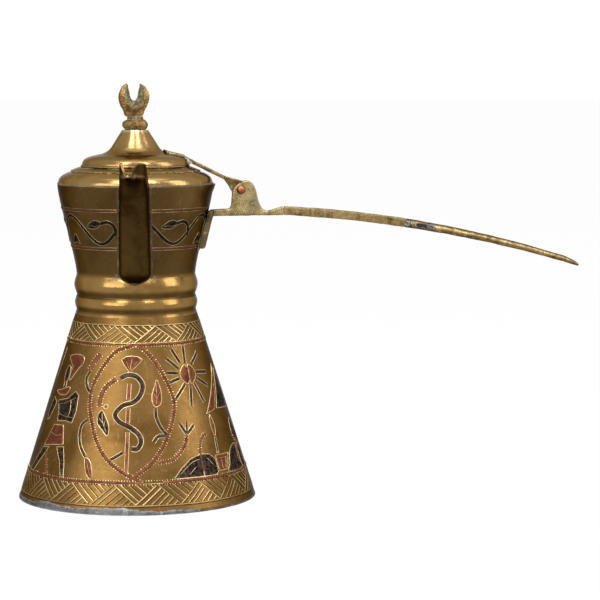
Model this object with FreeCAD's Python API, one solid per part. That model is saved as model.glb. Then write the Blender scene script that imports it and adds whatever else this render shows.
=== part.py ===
import FreeCAD
import Part
import math
import os

# A sheet-brass coffee pot: a conical skirt under a flared neck, a domed shoulder, a beak spout,
# a hinged lid with a crescent finial, and a long bar handle on a forked bracket.
# Millimetres. The origin is the centre of the underside, +Z is up, the handle points along +X
# and the spout along -Y.

# Sheet and skirt
SHEET = 1.0
BASE_PLATE_THICK = 1.2
SKIRT_BASE_R = 52.0
WAIST_R = 26.8
SKIRT_HEIGHT = 80.2
BASE_SOLDER_WIDTH = 0.4
BASE_SOLDER_RISE = 2.2

# Neck, with two beads above the waist
SPIGOT_DROP = 5.0
WAIST_SOLDER_GAP = 0.05
LOWER_BEAD_HEIGHT = 8.4
LOWER_BEAD_SWELL = 0.2
VALLEY_INSET = 0.8
UPPER_BEAD_HEIGHT = 8.7
UPPER_BEAD_SWELL = 0.4
NECK_INSET = 0.7
FLARE_HEIGHT = 39.5
FLARE_OUT = 8.1
FLARE_EASE = 7.0

# Shoulder that closes the neck down to the mouth
SHOULDER_SETBACK = 0.3
SHOULDER_SPIGOT_DROP = 3.0
SHOULDER_EDGE_RISE = 4.4
SHOULDER_RISE = 8.5
SHOULDER_ROUND = 3.2
MOUTH_R = 19.8
RIM_SOLDER_RISE = 0.6

# Lid
LID_SHEET = 0.75
LID_SEAT_GAP = 0.25
LID_OVERLAP = 4.2
LID_FOOT_FLARE = 1.1
LID_SIDE_RISE = 2.1
LID_SIDE_ROUND = 2.1
LID_SIDE_BOW_SHARE = 0.75
LID_LEDGE_RISE = 3.8
LID_LEDGE_TILT = 0.2
LID_LEDGE_BOW_SHARE = 0.46
CONE_BASE_R = 10.5
CONE_BASE_RISE = 7.8
CONE_BOW_SHARE = 0.56
CONE_TOP_R = 6.1
CONE_TOP_RISE = 15.7
COLLAR_GAP = 1.7
COLLAR_WALL = 0.8
COLLAR_DROP = 2.6

# Finial
TANG_R = 1.6
ROVE_R = 4.0
ROVE_THICK = 0.9
FINIAL_SEAT_R = 4.5
FINIAL_SEAT_RIM = 0.2
FINIAL_BEAD_R = 5.6
FINIAL_BEAD_HEIGHT = 4.4
FINIAL_STEM_R = 3.4
FINIAL_STEM_HEIGHT = 2.2
FINIAL_STEM_EASE = 0.4
CRESCENT_R = 6.6
CRESCENT_HEIGHT = 13.8
CRESCENT_WIDE_RISE = 7.3
CRESCENT_ROUND = 3.8
CRESCENT_THICK = 5.0
HORN_TIP_X = 3.6
HORN_GAP = 3.6
HORN_BEVEL = 2.6
HORN_TIP_BEVEL_SHARE = 0.3
NOTCH_FLOOR = 6.2

# Spout
SPOUT_HALF_WIDTH = 6.4
SPOUT_MOUTH_HALF_WIDTH = 5.3
SPOUT_OVERHANG = 26.8
SPOUT_FOOT_DROP = 2.1
SPOUT_LIP_OVER_RIM = 5.6
SPOUT_HORN_OVER_LIP = 5.8
SPOUT_KEEL_ROUND = 4.4
SPOUT_KEEL_POLES = ((0.38, 0.02), (0.38, 0.48), (0.59, 0.86))
SPOUT_SHEET = 1.0
SPOUT_SOLDER_WIDTH = 0.9
SPOUT_SOLDER_THICK = 0.5
STRAINER_HOLE_R = 1.5
STRAINER_PITCH = 6.0
STRAINER_RISE = 9.0
STRAINER_MARGIN = 0.9

# Handle bracket and hinge
TAB_THICK = 2.2
TAB_HALF_WIDTH = 7.0
TAB_HEIGHT = 14.0
TAB_SOLDER_MARGIN = 0.9
TAB_SOLDER_THICK = 0.3
CHEEK_THICK = 1.7
TONGUE_THICK = 2.4
TONGUE_SIDE_GAP = 0.15
ARM_DROP = 11.1
ARM_THICK = 3.1
ARM_TOP_FALL = 0.6
SLOT_SINK_SHARE = 0.55
PIN_OUT = 12.1
PIN_OVER_ARM = 8.5
PIN_R = 1.5
PIN_RUNNING_GAP = 0.05
PIN_HEAD_R = 2.0
PIN_HEAD_HEIGHT = 1.2
EAR_FRONT = 4.0
EAR_BACK = 6.4
EAR_TOP = 4.1
EAR_EASE = 1.5
EAR_CROWN_SHARE = 0.74
BRACKET_REACH = 19.0
BRACKET_END_RISE = 0.4
SADDLE_DIP = 0.9
SADDLE_SHARE = 0.4
TENON_LENGTH = 6.8

# Handle bar and tail
HANDLE_START_DROP_DEG = 2.9
HANDLE_R = 519.0
BAR_LENGTH = 54.0
BAR_HEIGHT = 3.7
TAIL_LENGTH = 80.0
TAIL_ROOT_HEIGHT = 4.0
TAIL_ROOT_DEPTH = 6.0
TAIL_TIP_HEIGHT = 2.5
TAIL_TIP_DEPTH = 3.4
TIP_LENGTH = 7.0
TIP_STATIONS = ((0.6, 0.75), (1.0, 0.4))
TAIL_STEPS = 4
SPLICE_LENGTH = 13.0
SPLICE_THICK = 0.4
SPLICE_HEIGHT = 2.0

# Lid strap
PAD_THICK = 1.2
PAD_LENGTH = 8.6
PAD_NOSE_SHARE = 0.17
PAD_WIDE_SHARE = 0.47
PAD_NOSE_WIDTH_SHARE = 0.8
PAD_LIP = 0.4
PAD_HALF_WIDTH = 4.6
STRAP_THICK = 1.7
STRAP_HALF_WIDTH = 2.6
STRAP_SAG = 0.25
STRAP_SINK = 0.2
STRAP_ROOT = 1.5
STRAP_AIM_SHARE = 0.6
TONGUE_R = 4.0
TONGUE_LENGTH = 8.6
TONGUE_WRAP_DEG = 74.0
TONGUE_HOLLOW = 0.4
LUMP_HALF_WIDTH = 2.1
LUMP_SHARE = 0.3

# Inlaid wire and plate, all laid on the wall at one thickness
INLAY_THICK = 0.25
LINE_WIRE_WIDTH = 0.9
STEM_WIRE_WIDTH = 1.0
SERPENT_WIDTH = 1.9
STAFF_WIDTH = 1.1
INLAY_GAP = 0.25
FRIEZE_FOOT_RISE = 12.0
FRIEZE_TOP_DROP = 11.1
NECK_LINE_LOW_DROP = 26.8
NECK_LINE_HIGH_DROP = 10.2
VINE_WAVES = 6
VINE_STEPS = 8
VINE_MARGIN = 2.0
LEAF_LENGTH = 6.6
LEAF_WIDTH = 1.8
LEAF_RISE = 2.6
BUD_WIDTH = 2.8
PETAL_WIDTH = 1.3
PANEL_ANGLES = (-2.5, 177.5)
OVAL_HALF_SPAN_DEG = 26.2
OVAL_HALF_HEIGHT_SHARE = 0.47
OVAL_POINTING = 1.15
OVAL_STEPS = 10
STAFF_SHARE = -0.1
SERPENT_TURNS = 1.5
SERPENT_LEAD = 0.4
SERPENT_SWING_SHARE = 0.26
SERPENT_TOP_SHARE = 0.755
SERPENT_DROP_SHARE = 0.49
SERPENT_STEPS = 12
SUN_FROM_PANEL = 43.0
SUN_SHARE = 0.765
SUN_R = 3.8
SUN_RAYS = 11
RAY_GAP = 1.2
RAY_LENGTH = 6.6
PYRAMID_FROM_PANEL = 78.0
PYRAMID_HALF_WIDTH = 17.0
PYRAMID_RIDGE_SHARE = 0.6
PYRAMID_FOOT_SHARE = 0.455
PYRAMID_APEX_SHARE = 0.83
FIGURE_FROM_PANEL = -50.0

# Heights and radii that follow from the sizes above
WAIST_Z = BASE_PLATE_THICK + SKIRT_HEIGHT
VALLEY_Z = WAIST_Z + LOWER_BEAD_HEIGHT
NECK_Z = VALLEY_Z + UPPER_BEAD_HEIGHT
RIM_Z = NECK_Z + FLARE_HEIGHT
NECK_R = WAIST_R - NECK_INSET
RIM_R = NECK_R + FLARE_OUT
LID_FOOT_R = MOUTH_R + LID_OVERLAP
LID_SIDE_R = LID_FOOT_R - LID_FOOT_FLARE
LID_LEDGE_R = LID_SIDE_R - LID_SIDE_ROUND
SPOUT_REACH = RIM_R + SPOUT_OVERHANG
ARM_TOP_Z = RIM_Z - ARM_DROP
TAB_FOOT_Z = ARM_TOP_Z - ARM_THICK - TAB_HEIGHT
PIN_X = RIM_R + PIN_OUT
PIN_Z = ARM_TOP_Z + PIN_OVER_ARM
SLOT_WIDTH = TONGUE_THICK + 2 * TONGUE_SIDE_GAP
SLOT_FLOOR_Z = ARM_TOP_Z - SLOT_SINK_SHARE * ARM_THICK
BRACKET_DEPTH = SLOT_WIDTH + 2 * CHEEK_THICK
BRACKET_END_X = PIN_X + BRACKET_REACH
BRACKET_END_Z = ARM_TOP_Z - ARM_THICK + BRACKET_END_RISE
SKIRT_SLOPE = (SKIRT_BASE_R - WAIST_R) / SKIRT_HEIGHT
FRIEZE_FOOT = BASE_PLATE_THICK + FRIEZE_FOOT_RISE
FRIEZE_TOP = WAIST_Z - FRIEZE_TOP_DROP
OVAL_HALF_WIDTH = (SKIRT_BASE_R + WAIST_R) / 2 * math.radians(OVAL_HALF_SPAN_DEG)
NECK_LINE_LOW = RIM_Z - NECK_LINE_LOW_DROP
NECK_LINE_HIGH = RIM_Z - NECK_LINE_HIGH_DROP
FAR = 4 * (SKIRT_BASE_R + SKIRT_HEIGHT)
OVERLAP = 2 * SHEET

Y_AXIS = FreeCAD.Vector(0, 1, 0)
Z_AXIS = FreeCAD.Vector(0, 0, 1)
ORIGIN = FreeCAD.Vector(0, 0, 0)


def at(x, z, y=0.0):
    """A point from its distance along the handle's side and its height."""
    return FreeCAD.Vector(x, y, z)


def line(start, end):
    """A straight edge."""
    return Part.LineSegment(start, end).toShape()


def bow(*poles):
    """A smooth edge with these Bezier poles."""
    curve = Part.BezierCurve()
    curve.setPoles(list(poles))
    return curve.toShape()


def arc(start, middle, end):
    """A round edge through three points."""
    return Part.Arc(start, middle, end).toShape()


def polygon(*points):
    """A flat face with straight sides."""
    return Part.Face(Part.makePolygon(list(points) + [points[0]]))


def face_of(edges):
    """A flat face inside edges given in order."""
    return Part.Face(Part.Wire(edges))


def sorted_face(edges):
    """A face from edges given in any order."""
    return Part.Face(Part.Wire(Part.__sortEdges__(edges)))


def closed_to_axis(edges):
    """A face between a profile, given from bottom to top, and the turning axis."""
    start = edges[0].Vertexes[0].Point
    end = edges[-1].Vertexes[-1].Point
    foot = at(0, start.z)
    top = at(0, end.z)
    sides = list(edges) + [line(foot, start), line(foot, top)]
    if end.x > 0:
        sides.append(line(end, top))
    return sorted_face(sides)


def turn(face):
    """A full turn of a face about the pot's axis."""
    return face.revolve(ORIGIN, Z_AXIS, 360)


def turned_ring(*points):
    """A ring about the pot's axis with straight sides."""
    return turn(polygon(*points))


def moved(shape, x=0.0, y=0.0, z=0.0):
    """A copy of a shape, moved."""
    copy = shape.copy()
    copy.translate(FreeCAD.Vector(x, y, z))
    return copy


def across(face, half_width):
    """A face that stands in the XZ plane, made into a solid that spans both sides of it."""
    return moved(face, y=-half_width).extrude(FreeCAD.Vector(0, 2 * half_width, 0))


def tidy(shape):
    """The shape with its split faces joined."""
    return shape.removeSplitter()


def largest(shape):
    """The largest solid of a shape, without the scraps that a cut leaves."""
    return max(shape.Solids, key=lambda piece: piece.Volume)


def skirt_radius(z):
    """The skirt's outside radius at a height."""
    return SKIRT_BASE_R - SKIRT_SLOPE * (z - BASE_PLATE_THICK)


def skirt():
    """The conical lower body, one sheet standing on the base plate."""
    foot_z = BASE_PLATE_THICK
    return turned_ring(
        at(SKIRT_BASE_R, foot_z),
        at(WAIST_R, WAIST_Z),
        at(WAIST_R - SHEET, WAIST_Z),
        at(SKIRT_BASE_R - SHEET, foot_z),
    )


def base_plate():
    """The flat disc that closes the bottom."""
    return Part.makeCylinder(SKIRT_BASE_R, BASE_PLATE_THICK)


def base_solder():
    """The solder bead run round the outside of the base seam."""
    top_z = BASE_PLATE_THICK + BASE_SOLDER_RISE
    edge_z = BASE_PLATE_THICK / 4
    return turned_ring(
        at(SKIRT_BASE_R, edge_z),
        at(SKIRT_BASE_R + BASE_SOLDER_WIDTH, BASE_PLATE_THICK),
        at(skirt_radius(top_z) + BASE_SOLDER_WIDTH / 2, top_z),
        at(skirt_radius(top_z), top_z),
        at(SKIRT_BASE_R, BASE_PLATE_THICK),
    )


def waist_solder():
    """The wedge of solder between the neck's spigot and the inside of the skirt."""
    spigot_r = WAIST_R - SHEET
    low_z = WAIST_Z - SPIGOT_DROP
    return turned_ring(
        at(spigot_r, WAIST_Z - WAIST_SOLDER_GAP / SKIRT_SLOPE),
        at(spigot_r, low_z),
        at(skirt_radius(low_z) - SHEET - WAIST_SOLDER_GAP, low_z),
    )


def flare_edge():
    """The neck's flare, upright at its foot and at the rim."""
    return bow(
        at(NECK_R, NECK_Z),
        at(NECK_R, NECK_Z + FLARE_EASE),
        at(RIM_R, RIM_Z - FLARE_EASE),
        at(RIM_R, RIM_Z),
    )


def neck_outline(inset=0.0):
    """The neck's outside from the spigot's foot to the rim, or its inside when inset by the sheet.
    The step out of the spigot is raised by the inset, so that the sheet keeps its thickness there."""
    spigot_r = WAIST_R - SHEET - inset
    step_z = WAIST_Z + inset
    waist = at(WAIST_R - inset, step_z)
    lower_bead = at(WAIST_R + LOWER_BEAD_SWELL - inset, WAIST_Z + LOWER_BEAD_HEIGHT / 2)
    valley = at(WAIST_R - VALLEY_INSET - inset, VALLEY_Z)
    upper_bead = at(WAIST_R + UPPER_BEAD_SWELL - inset, VALLEY_Z + UPPER_BEAD_HEIGHT / 2)
    return [
        line(at(spigot_r, WAIST_Z - SPIGOT_DROP), at(spigot_r, step_z)),
        line(at(spigot_r, step_z), waist),
        arc(waist, lower_bead, valley),
        arc(valley, upper_bead, at(NECK_R - inset, NECK_Z)),
        moved(flare_edge(), x=-inset),
    ]


def neck_core(grow=0.0):
    """The neck's outside as a full solid, moved out by a clearance or a coating."""
    return turn(closed_to_axis([moved(e, x=grow) for e in neck_outline()[2:]]))


def strainer_holes():
    """Round holes through the wall behind the spout, in staggered rows as far up as the shoulder's spigot."""
    low_z = NECK_Z + STRAINER_RISE
    room = FLARE_HEIGHT - STRAINER_RISE - SHOULDER_SPIGOT_DROP - 2 * STRAINER_HOLE_R
    side_x = SPOUT_HALF_WIDTH - SPOUT_SHEET - STRAINER_HOLE_R - STRAINER_MARGIN
    holes = []
    for row in range(int(room / STRAINER_PITCH) + 1):
        for x in [0.0] if row % 2 else [-side_x, side_x]:
            foot = FreeCAD.Vector(x, -RIM_R - OVERLAP, low_z + row * STRAINER_PITCH)
            holes.append(Part.makeCylinder(STRAINER_HOLE_R, RIM_R, foot, Y_AXIS))
    return holes


def neck():
    """The beaded and flared upper body, with the strainer pierced through it."""
    outside = turn(closed_to_axis(neck_outline()))
    inside = turn(closed_to_axis(neck_outline(SHEET)))
    return outside.cut(inside).cut(strainer_holes())


def shoulder_edge():
    """The domed top of the shoulder, from the rim in to the mouth."""
    edge_r = RIM_R - SHOULDER_SETBACK
    return bow(
        at(edge_r, RIM_Z),
        at(edge_r, RIM_Z + SHOULDER_EDGE_RISE),
        at(RIM_R - SHOULDER_ROUND, RIM_Z + SHOULDER_EDGE_RISE + SHOULDER_SETBACK),
        at(MOUTH_R, RIM_Z + SHOULDER_RISE),
    )


def shoulder_height(radius):
    """The height of the shoulder's top face at a radius."""
    ring = Part.makeLine(at(radius, RIM_Z), at(radius, RIM_Z + FAR))
    return shoulder_edge().distToShape(ring)[1][0][0].z


def shoulder():
    """A domed ring with a spigot inside the neck's rim and a round mouth for the lid."""
    spigot_r = RIM_R - SHEET
    foot = at(spigot_r, RIM_Z - SHOULDER_SPIGOT_DROP)
    rim_in = at(spigot_r, RIM_Z)
    edge = shoulder_edge()
    outside = [line(foot, rim_in), line(rim_in, at(RIM_R - SHOULDER_SETBACK, RIM_Z)), edge]
    solid = turn(closed_to_axis(outside))
    hollow = turn(closed_to_axis([moved(e, x=-SHEET, z=-SHEET) for e in outside]))
    mouth = Part.makeCylinder(MOUTH_R, FAR)
    return solid.cut([hollow, mouth, neck()])


def rim_solder():
    """The thin line of solder in the step between the neck's rim and the shoulder."""
    inner_r = RIM_R - SHOULDER_SETBACK
    ring = turned_ring(
        at(inner_r - SHOULDER_SETBACK, RIM_Z),
        at(RIM_R, RIM_Z),
        at(inner_r - SHOULDER_SETBACK, RIM_Z + RIM_SOLDER_RISE),
    )
    return ring.cut(turn(closed_to_axis([shoulder_edge()])))


def lid_foot_z():
    """The underside of the lid's foot, clear of the shoulder over its whole width."""
    return shoulder_height(LID_SIDE_R - LID_SHEET) + LID_SEAT_GAP


def lid_outline():
    """The outside of the lid: a flared foot, a rounded side, a ledge and a steep cone."""
    foot_z = lid_foot_z()
    lip_z = foot_z + LID_SHEET / 2
    side = at(LID_SIDE_R, foot_z + LID_SIDE_RISE)
    ledge = at(LID_LEDGE_R, foot_z + LID_LEDGE_RISE)
    cone = at(CONE_BASE_R, foot_z + CONE_BASE_RISE)
    top = at(CONE_TOP_R, foot_z + CONE_TOP_RISE)
    side_bow = (LID_LEDGE_RISE - LID_SIDE_RISE) * LID_SIDE_BOW_SHARE
    ledge_bow = (LID_LEDGE_R - CONE_BASE_R) * LID_LEDGE_BOW_SHARE
    cone_lean = (CONE_BASE_R - CONE_TOP_R) / (CONE_TOP_RISE - CONE_BASE_RISE)
    cone_bow = (CONE_BASE_RISE - LID_LEDGE_RISE) * CONE_BOW_SHARE
    return [
        line(at(LID_FOOT_R, foot_z), at(LID_FOOT_R, lip_z)),
        bow(at(LID_FOOT_R, lip_z), at(LID_SIDE_R, lip_z), side),
        bow(side, side + at(0, side_bow), ledge + at(side_bow, -LID_LEDGE_TILT * side_bow), ledge),
        bow(
            ledge,
            ledge + at(-ledge_bow, LID_LEDGE_TILT * ledge_bow),
            cone + at(cone_lean * cone_bow, -cone_bow),
            cone,
        ),
        line(cone, top),
    ]


def lid_outside():
    """The lid's outside as a full solid."""
    return turn(closed_to_axis(lid_outline()))


def lid_inside():
    """The hollow under the lid's sheet as a full solid."""
    return turn(closed_to_axis([moved(e, x=-LID_SHEET, z=-LID_SHEET) for e in lid_outline()]))


def lid_cap():
    """The lid's sheet, with a hole at its top for the finial's tang."""
    return lid_outside().cut(lid_inside()).cut(Part.makeCylinder(TANG_R, FAR))


def lid_collar():
    """The ring inside the lid that drops into the mouth and keeps the lid central."""
    low = at(0, RIM_Z + SHOULDER_RISE - SHEET - COLLAR_DROP)
    outer_r = MOUTH_R - COLLAR_GAP
    tube = Part.makeCylinder(outer_r, FAR, low).cut(Part.makeCylinder(outer_r - COLLAR_WALL, FAR, low))
    well = Part.makeCylinder(outer_r, lid_foot_z() - low.z, low)
    return tube.common(lid_inside().fuse(well))


def finial():
    """The cast finial: a tang through the lid, a bead, a short stem and an upright crescent."""
    seat_z = lid_foot_z() + CONE_TOP_RISE
    under_z = seat_z - LID_SHEET - ROVE_THICK
    tang = Part.makeCylinder(TANG_R, seat_z - under_z + OVERLAP, at(0, under_z))
    bead_mid = seat_z + FINIAL_BEAD_HEIGHT / 2
    stem_z = seat_z + FINIAL_BEAD_HEIGHT
    stem_top = stem_z + FINIAL_STEM_HEIGHT
    seat_rim = at(FINIAL_SEAT_R, seat_z + FINIAL_SEAT_RIM)
    stem_foot = at(FINIAL_STEM_R + FINIAL_STEM_EASE, stem_z)
    turned = turn(
        closed_to_axis(
            [
                line(at(FINIAL_SEAT_R, seat_z), seat_rim),
                arc(seat_rim, at(FINIAL_BEAD_R, bead_mid), stem_foot),
                bow(stem_foot, at(FINIAL_STEM_R, stem_z), at(FINIAL_STEM_R, stem_top)),
            ]
        )
    )
    return tidy(tang.fuse(turned).fuse(crescent(stem_top)))


def crescent(foot_z):
    """Two horns round a bevelled notch, on a foot as wide as the stem."""
    tip_z = foot_z + CRESCENT_HEIGHT
    wide_z = foot_z + CRESCENT_WIDE_RISE
    sunk_z = foot_z - FINIAL_STEM_HEIGHT / 2
    outline = [line(at(-FINIAL_STEM_R, sunk_z), at(FINIAL_STEM_R, sunk_z))]
    for side in (1, -1):
        foot = at(side * FINIAL_STEM_R, sunk_z)
        foot_pole = at(side * FINIAL_STEM_R, foot_z + FINIAL_STEM_HEIGHT / 2)
        wide = at(side * CRESCENT_R, wide_z)
        wide_low_pole = at(side * CRESCENT_R, wide_z - CRESCENT_ROUND)
        wide_high_pole = at(side * CRESCENT_R, wide_z + CRESCENT_ROUND)
        outline.append(bow(foot, foot_pole, wide_low_pole, wide))
        outline.append(bow(wide, wide_high_pole, at(side * HORN_TIP_X, tip_z)))
    outline.append(line(at(-HORN_TIP_X, tip_z), at(HORN_TIP_X, tip_z)))
    body = across(sorted_face(outline), CRESCENT_THICK / 2)
    floor_z = foot_z + NOTCH_FLOOR
    for side in (1, -1):
        inner = notch_wire(0.0, floor_z, tip_z, 0.0)
        outer = notch_wire(HORN_BEVEL, floor_z, tip_z, side * CRESCENT_THICK / 2)
        body = body.cut(Part.makeLoft([inner, outer], True, True))
    return body


def notch_wire(bevel, floor_z, tip_z, y):
    """A U-shaped outline that opens upwards past the horns' tips, widened by a bevel."""
    half_gap = HORN_GAP / 2 + bevel
    top_half_gap = HORN_GAP / 2 + bevel * HORN_TIP_BEVEL_SHARE
    floor_z = floor_z - bevel
    top_z = tip_z + OVERLAP
    bend_z = floor_z + half_gap
    return Part.Wire(
        [
            line(at(-top_half_gap, top_z, y), at(-half_gap, bend_z, y)),
            arc(at(-half_gap, bend_z, y), at(0, floor_z, y), at(half_gap, bend_z, y)),
            line(at(half_gap, bend_z, y), at(top_half_gap, top_z, y)),
            line(at(top_half_gap, top_z, y), at(-top_half_gap, top_z, y)),
        ]
    )


def finial_rove():
    """The washer inside the lid that the finial's tang is peened over."""
    top_z = lid_foot_z() + CONE_TOP_RISE - LID_SHEET
    disc = Part.makeCylinder(ROVE_R, ROVE_THICK, at(0, top_z - ROVE_THICK))
    return disc.cut(Part.makeCylinder(TANG_R, FAR)).common(lid_inside())


def spout_block(inset, lift):
    """The spout's outside as a full block, or its hollow when inset by the sheet.
    The lift carries the hollow past the open top."""
    foot_z = NECK_Z - SPOUT_FOOT_DROP + inset
    lip_z = RIM_Z + SPOUT_LIP_OVER_RIM + inset
    horn_z = lip_z + SPOUT_HORN_OVER_LIP + lift
    reach = SPOUT_REACH + (OVERLAP if inset else 0.0)
    back_y = -NECK_R / 2
    foot = FreeCAD.Vector(0, -NECK_R + inset, foot_z)
    lip = FreeCAD.Vector(0, -reach, lip_z)
    horn = FreeCAD.Vector(0, -reach, horn_z)
    rim = FreeCAD.Vector(0, -RIM_R, RIM_Z + lift)
    rim_back = FreeCAD.Vector(0, back_y, RIM_Z + lift)
    foot_back = FreeCAD.Vector(0, back_y, foot_z)
    poles = []
    for out, up in SPOUT_KEEL_POLES:
        y = -NECK_R - out * (SPOUT_REACH - NECK_R) + inset
        poles.append(FreeCAD.Vector(0, y, foot_z + up * (lip_z - foot_z)))
    corners = [lip, horn, rim, rim_back, foot_back, foot]
    edges = [bow(foot, *poles, lip)] + [line(a, b) for a, b in zip(corners, corners[1:])]
    face = sorted_face(edges)
    front_y = -reach - OVERLAP
    back_half = spout_half_width(back_y) - inset
    front_half = spout_half_width(front_y) - inset
    block = moved(face, x=-RIM_R).extrude(FreeCAD.Vector(2 * RIM_R, 0, 0))
    plan = polygon(
        FreeCAD.Vector(-back_half, back_y, 0),
        FreeCAD.Vector(-front_half, front_y, 0),
        FreeCAD.Vector(front_half, front_y, 0),
        FreeCAD.Vector(back_half, back_y, 0),
    ).extrude(FreeCAD.Vector(0, 0, FAR))
    block = block.common(plan).Solids[0]
    return block.makeFillet(SPOUT_KEEL_ROUND - inset, keel_edges(block, foot_z, lip_z)).Solids[0]


def spout_half_width(y):
    """Half the spout's outside width, which narrows evenly from the rim to the mouth."""
    lean = (SPOUT_HALF_WIDTH - SPOUT_MOUTH_HALF_WIDTH) / (SPOUT_REACH - RIM_R)
    return SPOUT_HALF_WIDTH + lean * (y + RIM_R)


def keel_edges(block, foot_z, lip_z):
    """The long curved edges along both sides of the keel."""
    slack = (lip_z - foot_z) / 40
    found = []
    for edge in block.Edges:
        box = edge.BoundBox
        spans = box.ZMin < foot_z + slack and abs(box.ZMax - lip_z) < slack
        if spans and box.YLength > slack:
            found.append(edge)
    return found


def spout():
    """A folded-sheet beak, open along its top, soldered over the strainer."""
    solid = spout_block(0.0, 0.0).cut(spout_block(SPOUT_SHEET, 2 * OVERLAP))
    return largest(solid.cut(neck_core()).cut(turn(closed_to_axis([shoulder_edge()]))))


def spout_solder():
    """The solder run along the spout's seam on the neck."""
    near = spout_block(0.0, 0.0)
    wide = spout_block(-SPOUT_SOLDER_WIDTH, 0.0)
    coat = neck_core(SPOUT_SOLDER_THICK).cut(neck_core())
    below_rim = Part.makeBox(FAR, FAR, RIM_Z, FreeCAD.Vector(-FAR / 2, -FAR / 2, 0))
    return wide.common(coat).common(below_rim).cut(near)


def tab_sheet(grow_from, grow_to, margin):
    """A patch of the neck's outside, raised from one distance to another."""
    patch = Part.makeBox(
        RIM_R + OVERLAP + grow_to,
        2 * (TAB_HALF_WIDTH + margin),
        ARM_TOP_Z - ARM_TOP_FALL - TAB_FOOT_Z + margin,
        FreeCAD.Vector(0, -TAB_HALF_WIDTH - margin, TAB_FOOT_Z - margin),
    )
    return patch.common(neck_core(grow_to)).cut(neck_core(grow_from))


def tab_solder():
    """The film of solder between the bracket's tab and the neck."""
    return tab_sheet(0.0, TAB_SOLDER_THICK, TAB_SOLDER_MARGIN)


def ear_outline():
    """The side of the bracket's fork: an arm, an upright ear round the pin and a saddle behind it."""
    arm_foot_z = ARM_TOP_Z - ARM_THICK
    front = PIN_X - EAR_FRONT
    back = PIN_X + EAR_BACK
    top_z = PIN_Z + EAR_TOP
    root_foot = at(NECK_R, arm_foot_z)
    root_top = at(NECK_R, ARM_TOP_Z - ARM_TOP_FALL)
    end_foot = at(BRACKET_END_X, BRACKET_END_Z)
    end_top = at(BRACKET_END_X, BRACKET_END_Z + BAR_HEIGHT)
    saddle = at(back + SADDLE_SHARE * (BRACKET_END_X - back), ARM_TOP_Z - SADDLE_DIP)
    heel = at(back, PIN_Z)
    crown = at(PIN_X, PIN_Z + EAR_CROWN_SHARE * EAR_TOP)
    throat = at(front, PIN_Z - EAR_EASE)
    bend = at(front - EAR_EASE, ARM_TOP_Z)
    return [
        line(root_foot, end_foot),
        line(end_foot, end_top),
        bow(end_top, end_top - at(EAR_EASE, 0), saddle + at(EAR_EASE, 0), saddle),
        bow(saddle, at(back + EAR_EASE, saddle.z), at(back + EAR_EASE / 2, throat.z), heel),
        bow(heel, at(back - EAR_EASE / 2, top_z), at(PIN_X + EAR_EASE, top_z + EAR_EASE / 2), crown),
        bow(crown, at(front + EAR_EASE / 2, PIN_Z + EAR_TOP / 2), throat),
        bow(throat, at(front, ARM_TOP_Z), bend),
        line(bend, root_top),
        line(root_top, root_foot),
    ]


def pin_bore(radius):
    """A long round bar along the hinge's axis, to cut a bore with."""
    return Part.makeCylinder(radius, FAR, FreeCAD.Vector(PIN_X, -FAR / 2, PIN_Z), Y_AXIS)


def handle_bracket():
    """The forged bracket: a tab on the neck, an arm, and a fork for the lid's tongue."""
    fork = across(face_of(ear_outline()), BRACKET_DEPTH / 2)
    slot_corner = FreeCAD.Vector(PIN_X - EAR_FRONT - OVERLAP, -SLOT_WIDTH / 2, SLOT_FLOOR_Z)
    slot = Part.makeBox(FAR, SLOT_WIDTH, FAR, slot_corner)
    tab = tab_sheet(TAB_SOLDER_THICK, TAB_SOLDER_THICK + TAB_THICK, 0.0)
    arm = fork.cut(slot).cut(pin_bore(PIN_R)).cut(neck_core(TAB_SOLDER_THICK))
    return tidy(largest(tab.fuse(arm)))


def hinge_rivet():
    """The copper rivet through the fork, with a domed head at each end."""
    half = BRACKET_DEPTH / 2
    shank = Part.makeCylinder(PIN_R, 2 * half, FreeCAD.Vector(PIN_X, -half, PIN_Z), Y_AXIS)
    ball_r = (PIN_HEAD_R**2 + PIN_HEAD_HEIGHT**2) / (2 * PIN_HEAD_HEIGHT)
    for side in (1, -1):
        centre = FreeCAD.Vector(PIN_X, side * (half + PIN_HEAD_HEIGHT - ball_r), PIN_Z)
        foot = FreeCAD.Vector(PIN_X, side * half, PIN_Z)
        outside = Part.makeCylinder(ball_r, ball_r, foot, Y_AXIS * side)
        shank = shank.fuse(Part.makeSphere(ball_r, centre).common(outside))
    return tidy(shank)


def handle_point(run):
    """A point on the handle's centre line and its drop in radians, a length along it from the fork."""
    first = math.radians(HANDLE_START_DROP_DEG)
    turned = first + run / HANDLE_R
    x = BRACKET_END_X + HANDLE_R * (math.sin(turned) - math.sin(first))
    z = BRACKET_END_Z + BAR_HEIGHT / 2 - HANDLE_R * (math.cos(first) - math.cos(turned))
    return at(x, z), turned


def handle_arc(run_start, run_end, rise):
    """The handle's line between two lengths, moved up or down square to itself."""
    points = []
    for run in (run_start, (run_start + run_end) / 2, run_end):
        place, drop = handle_point(run)
        points.append(place + at(math.sin(drop), math.cos(drop)) * rise)
    return Part.Arc(*points).toShape()


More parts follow.
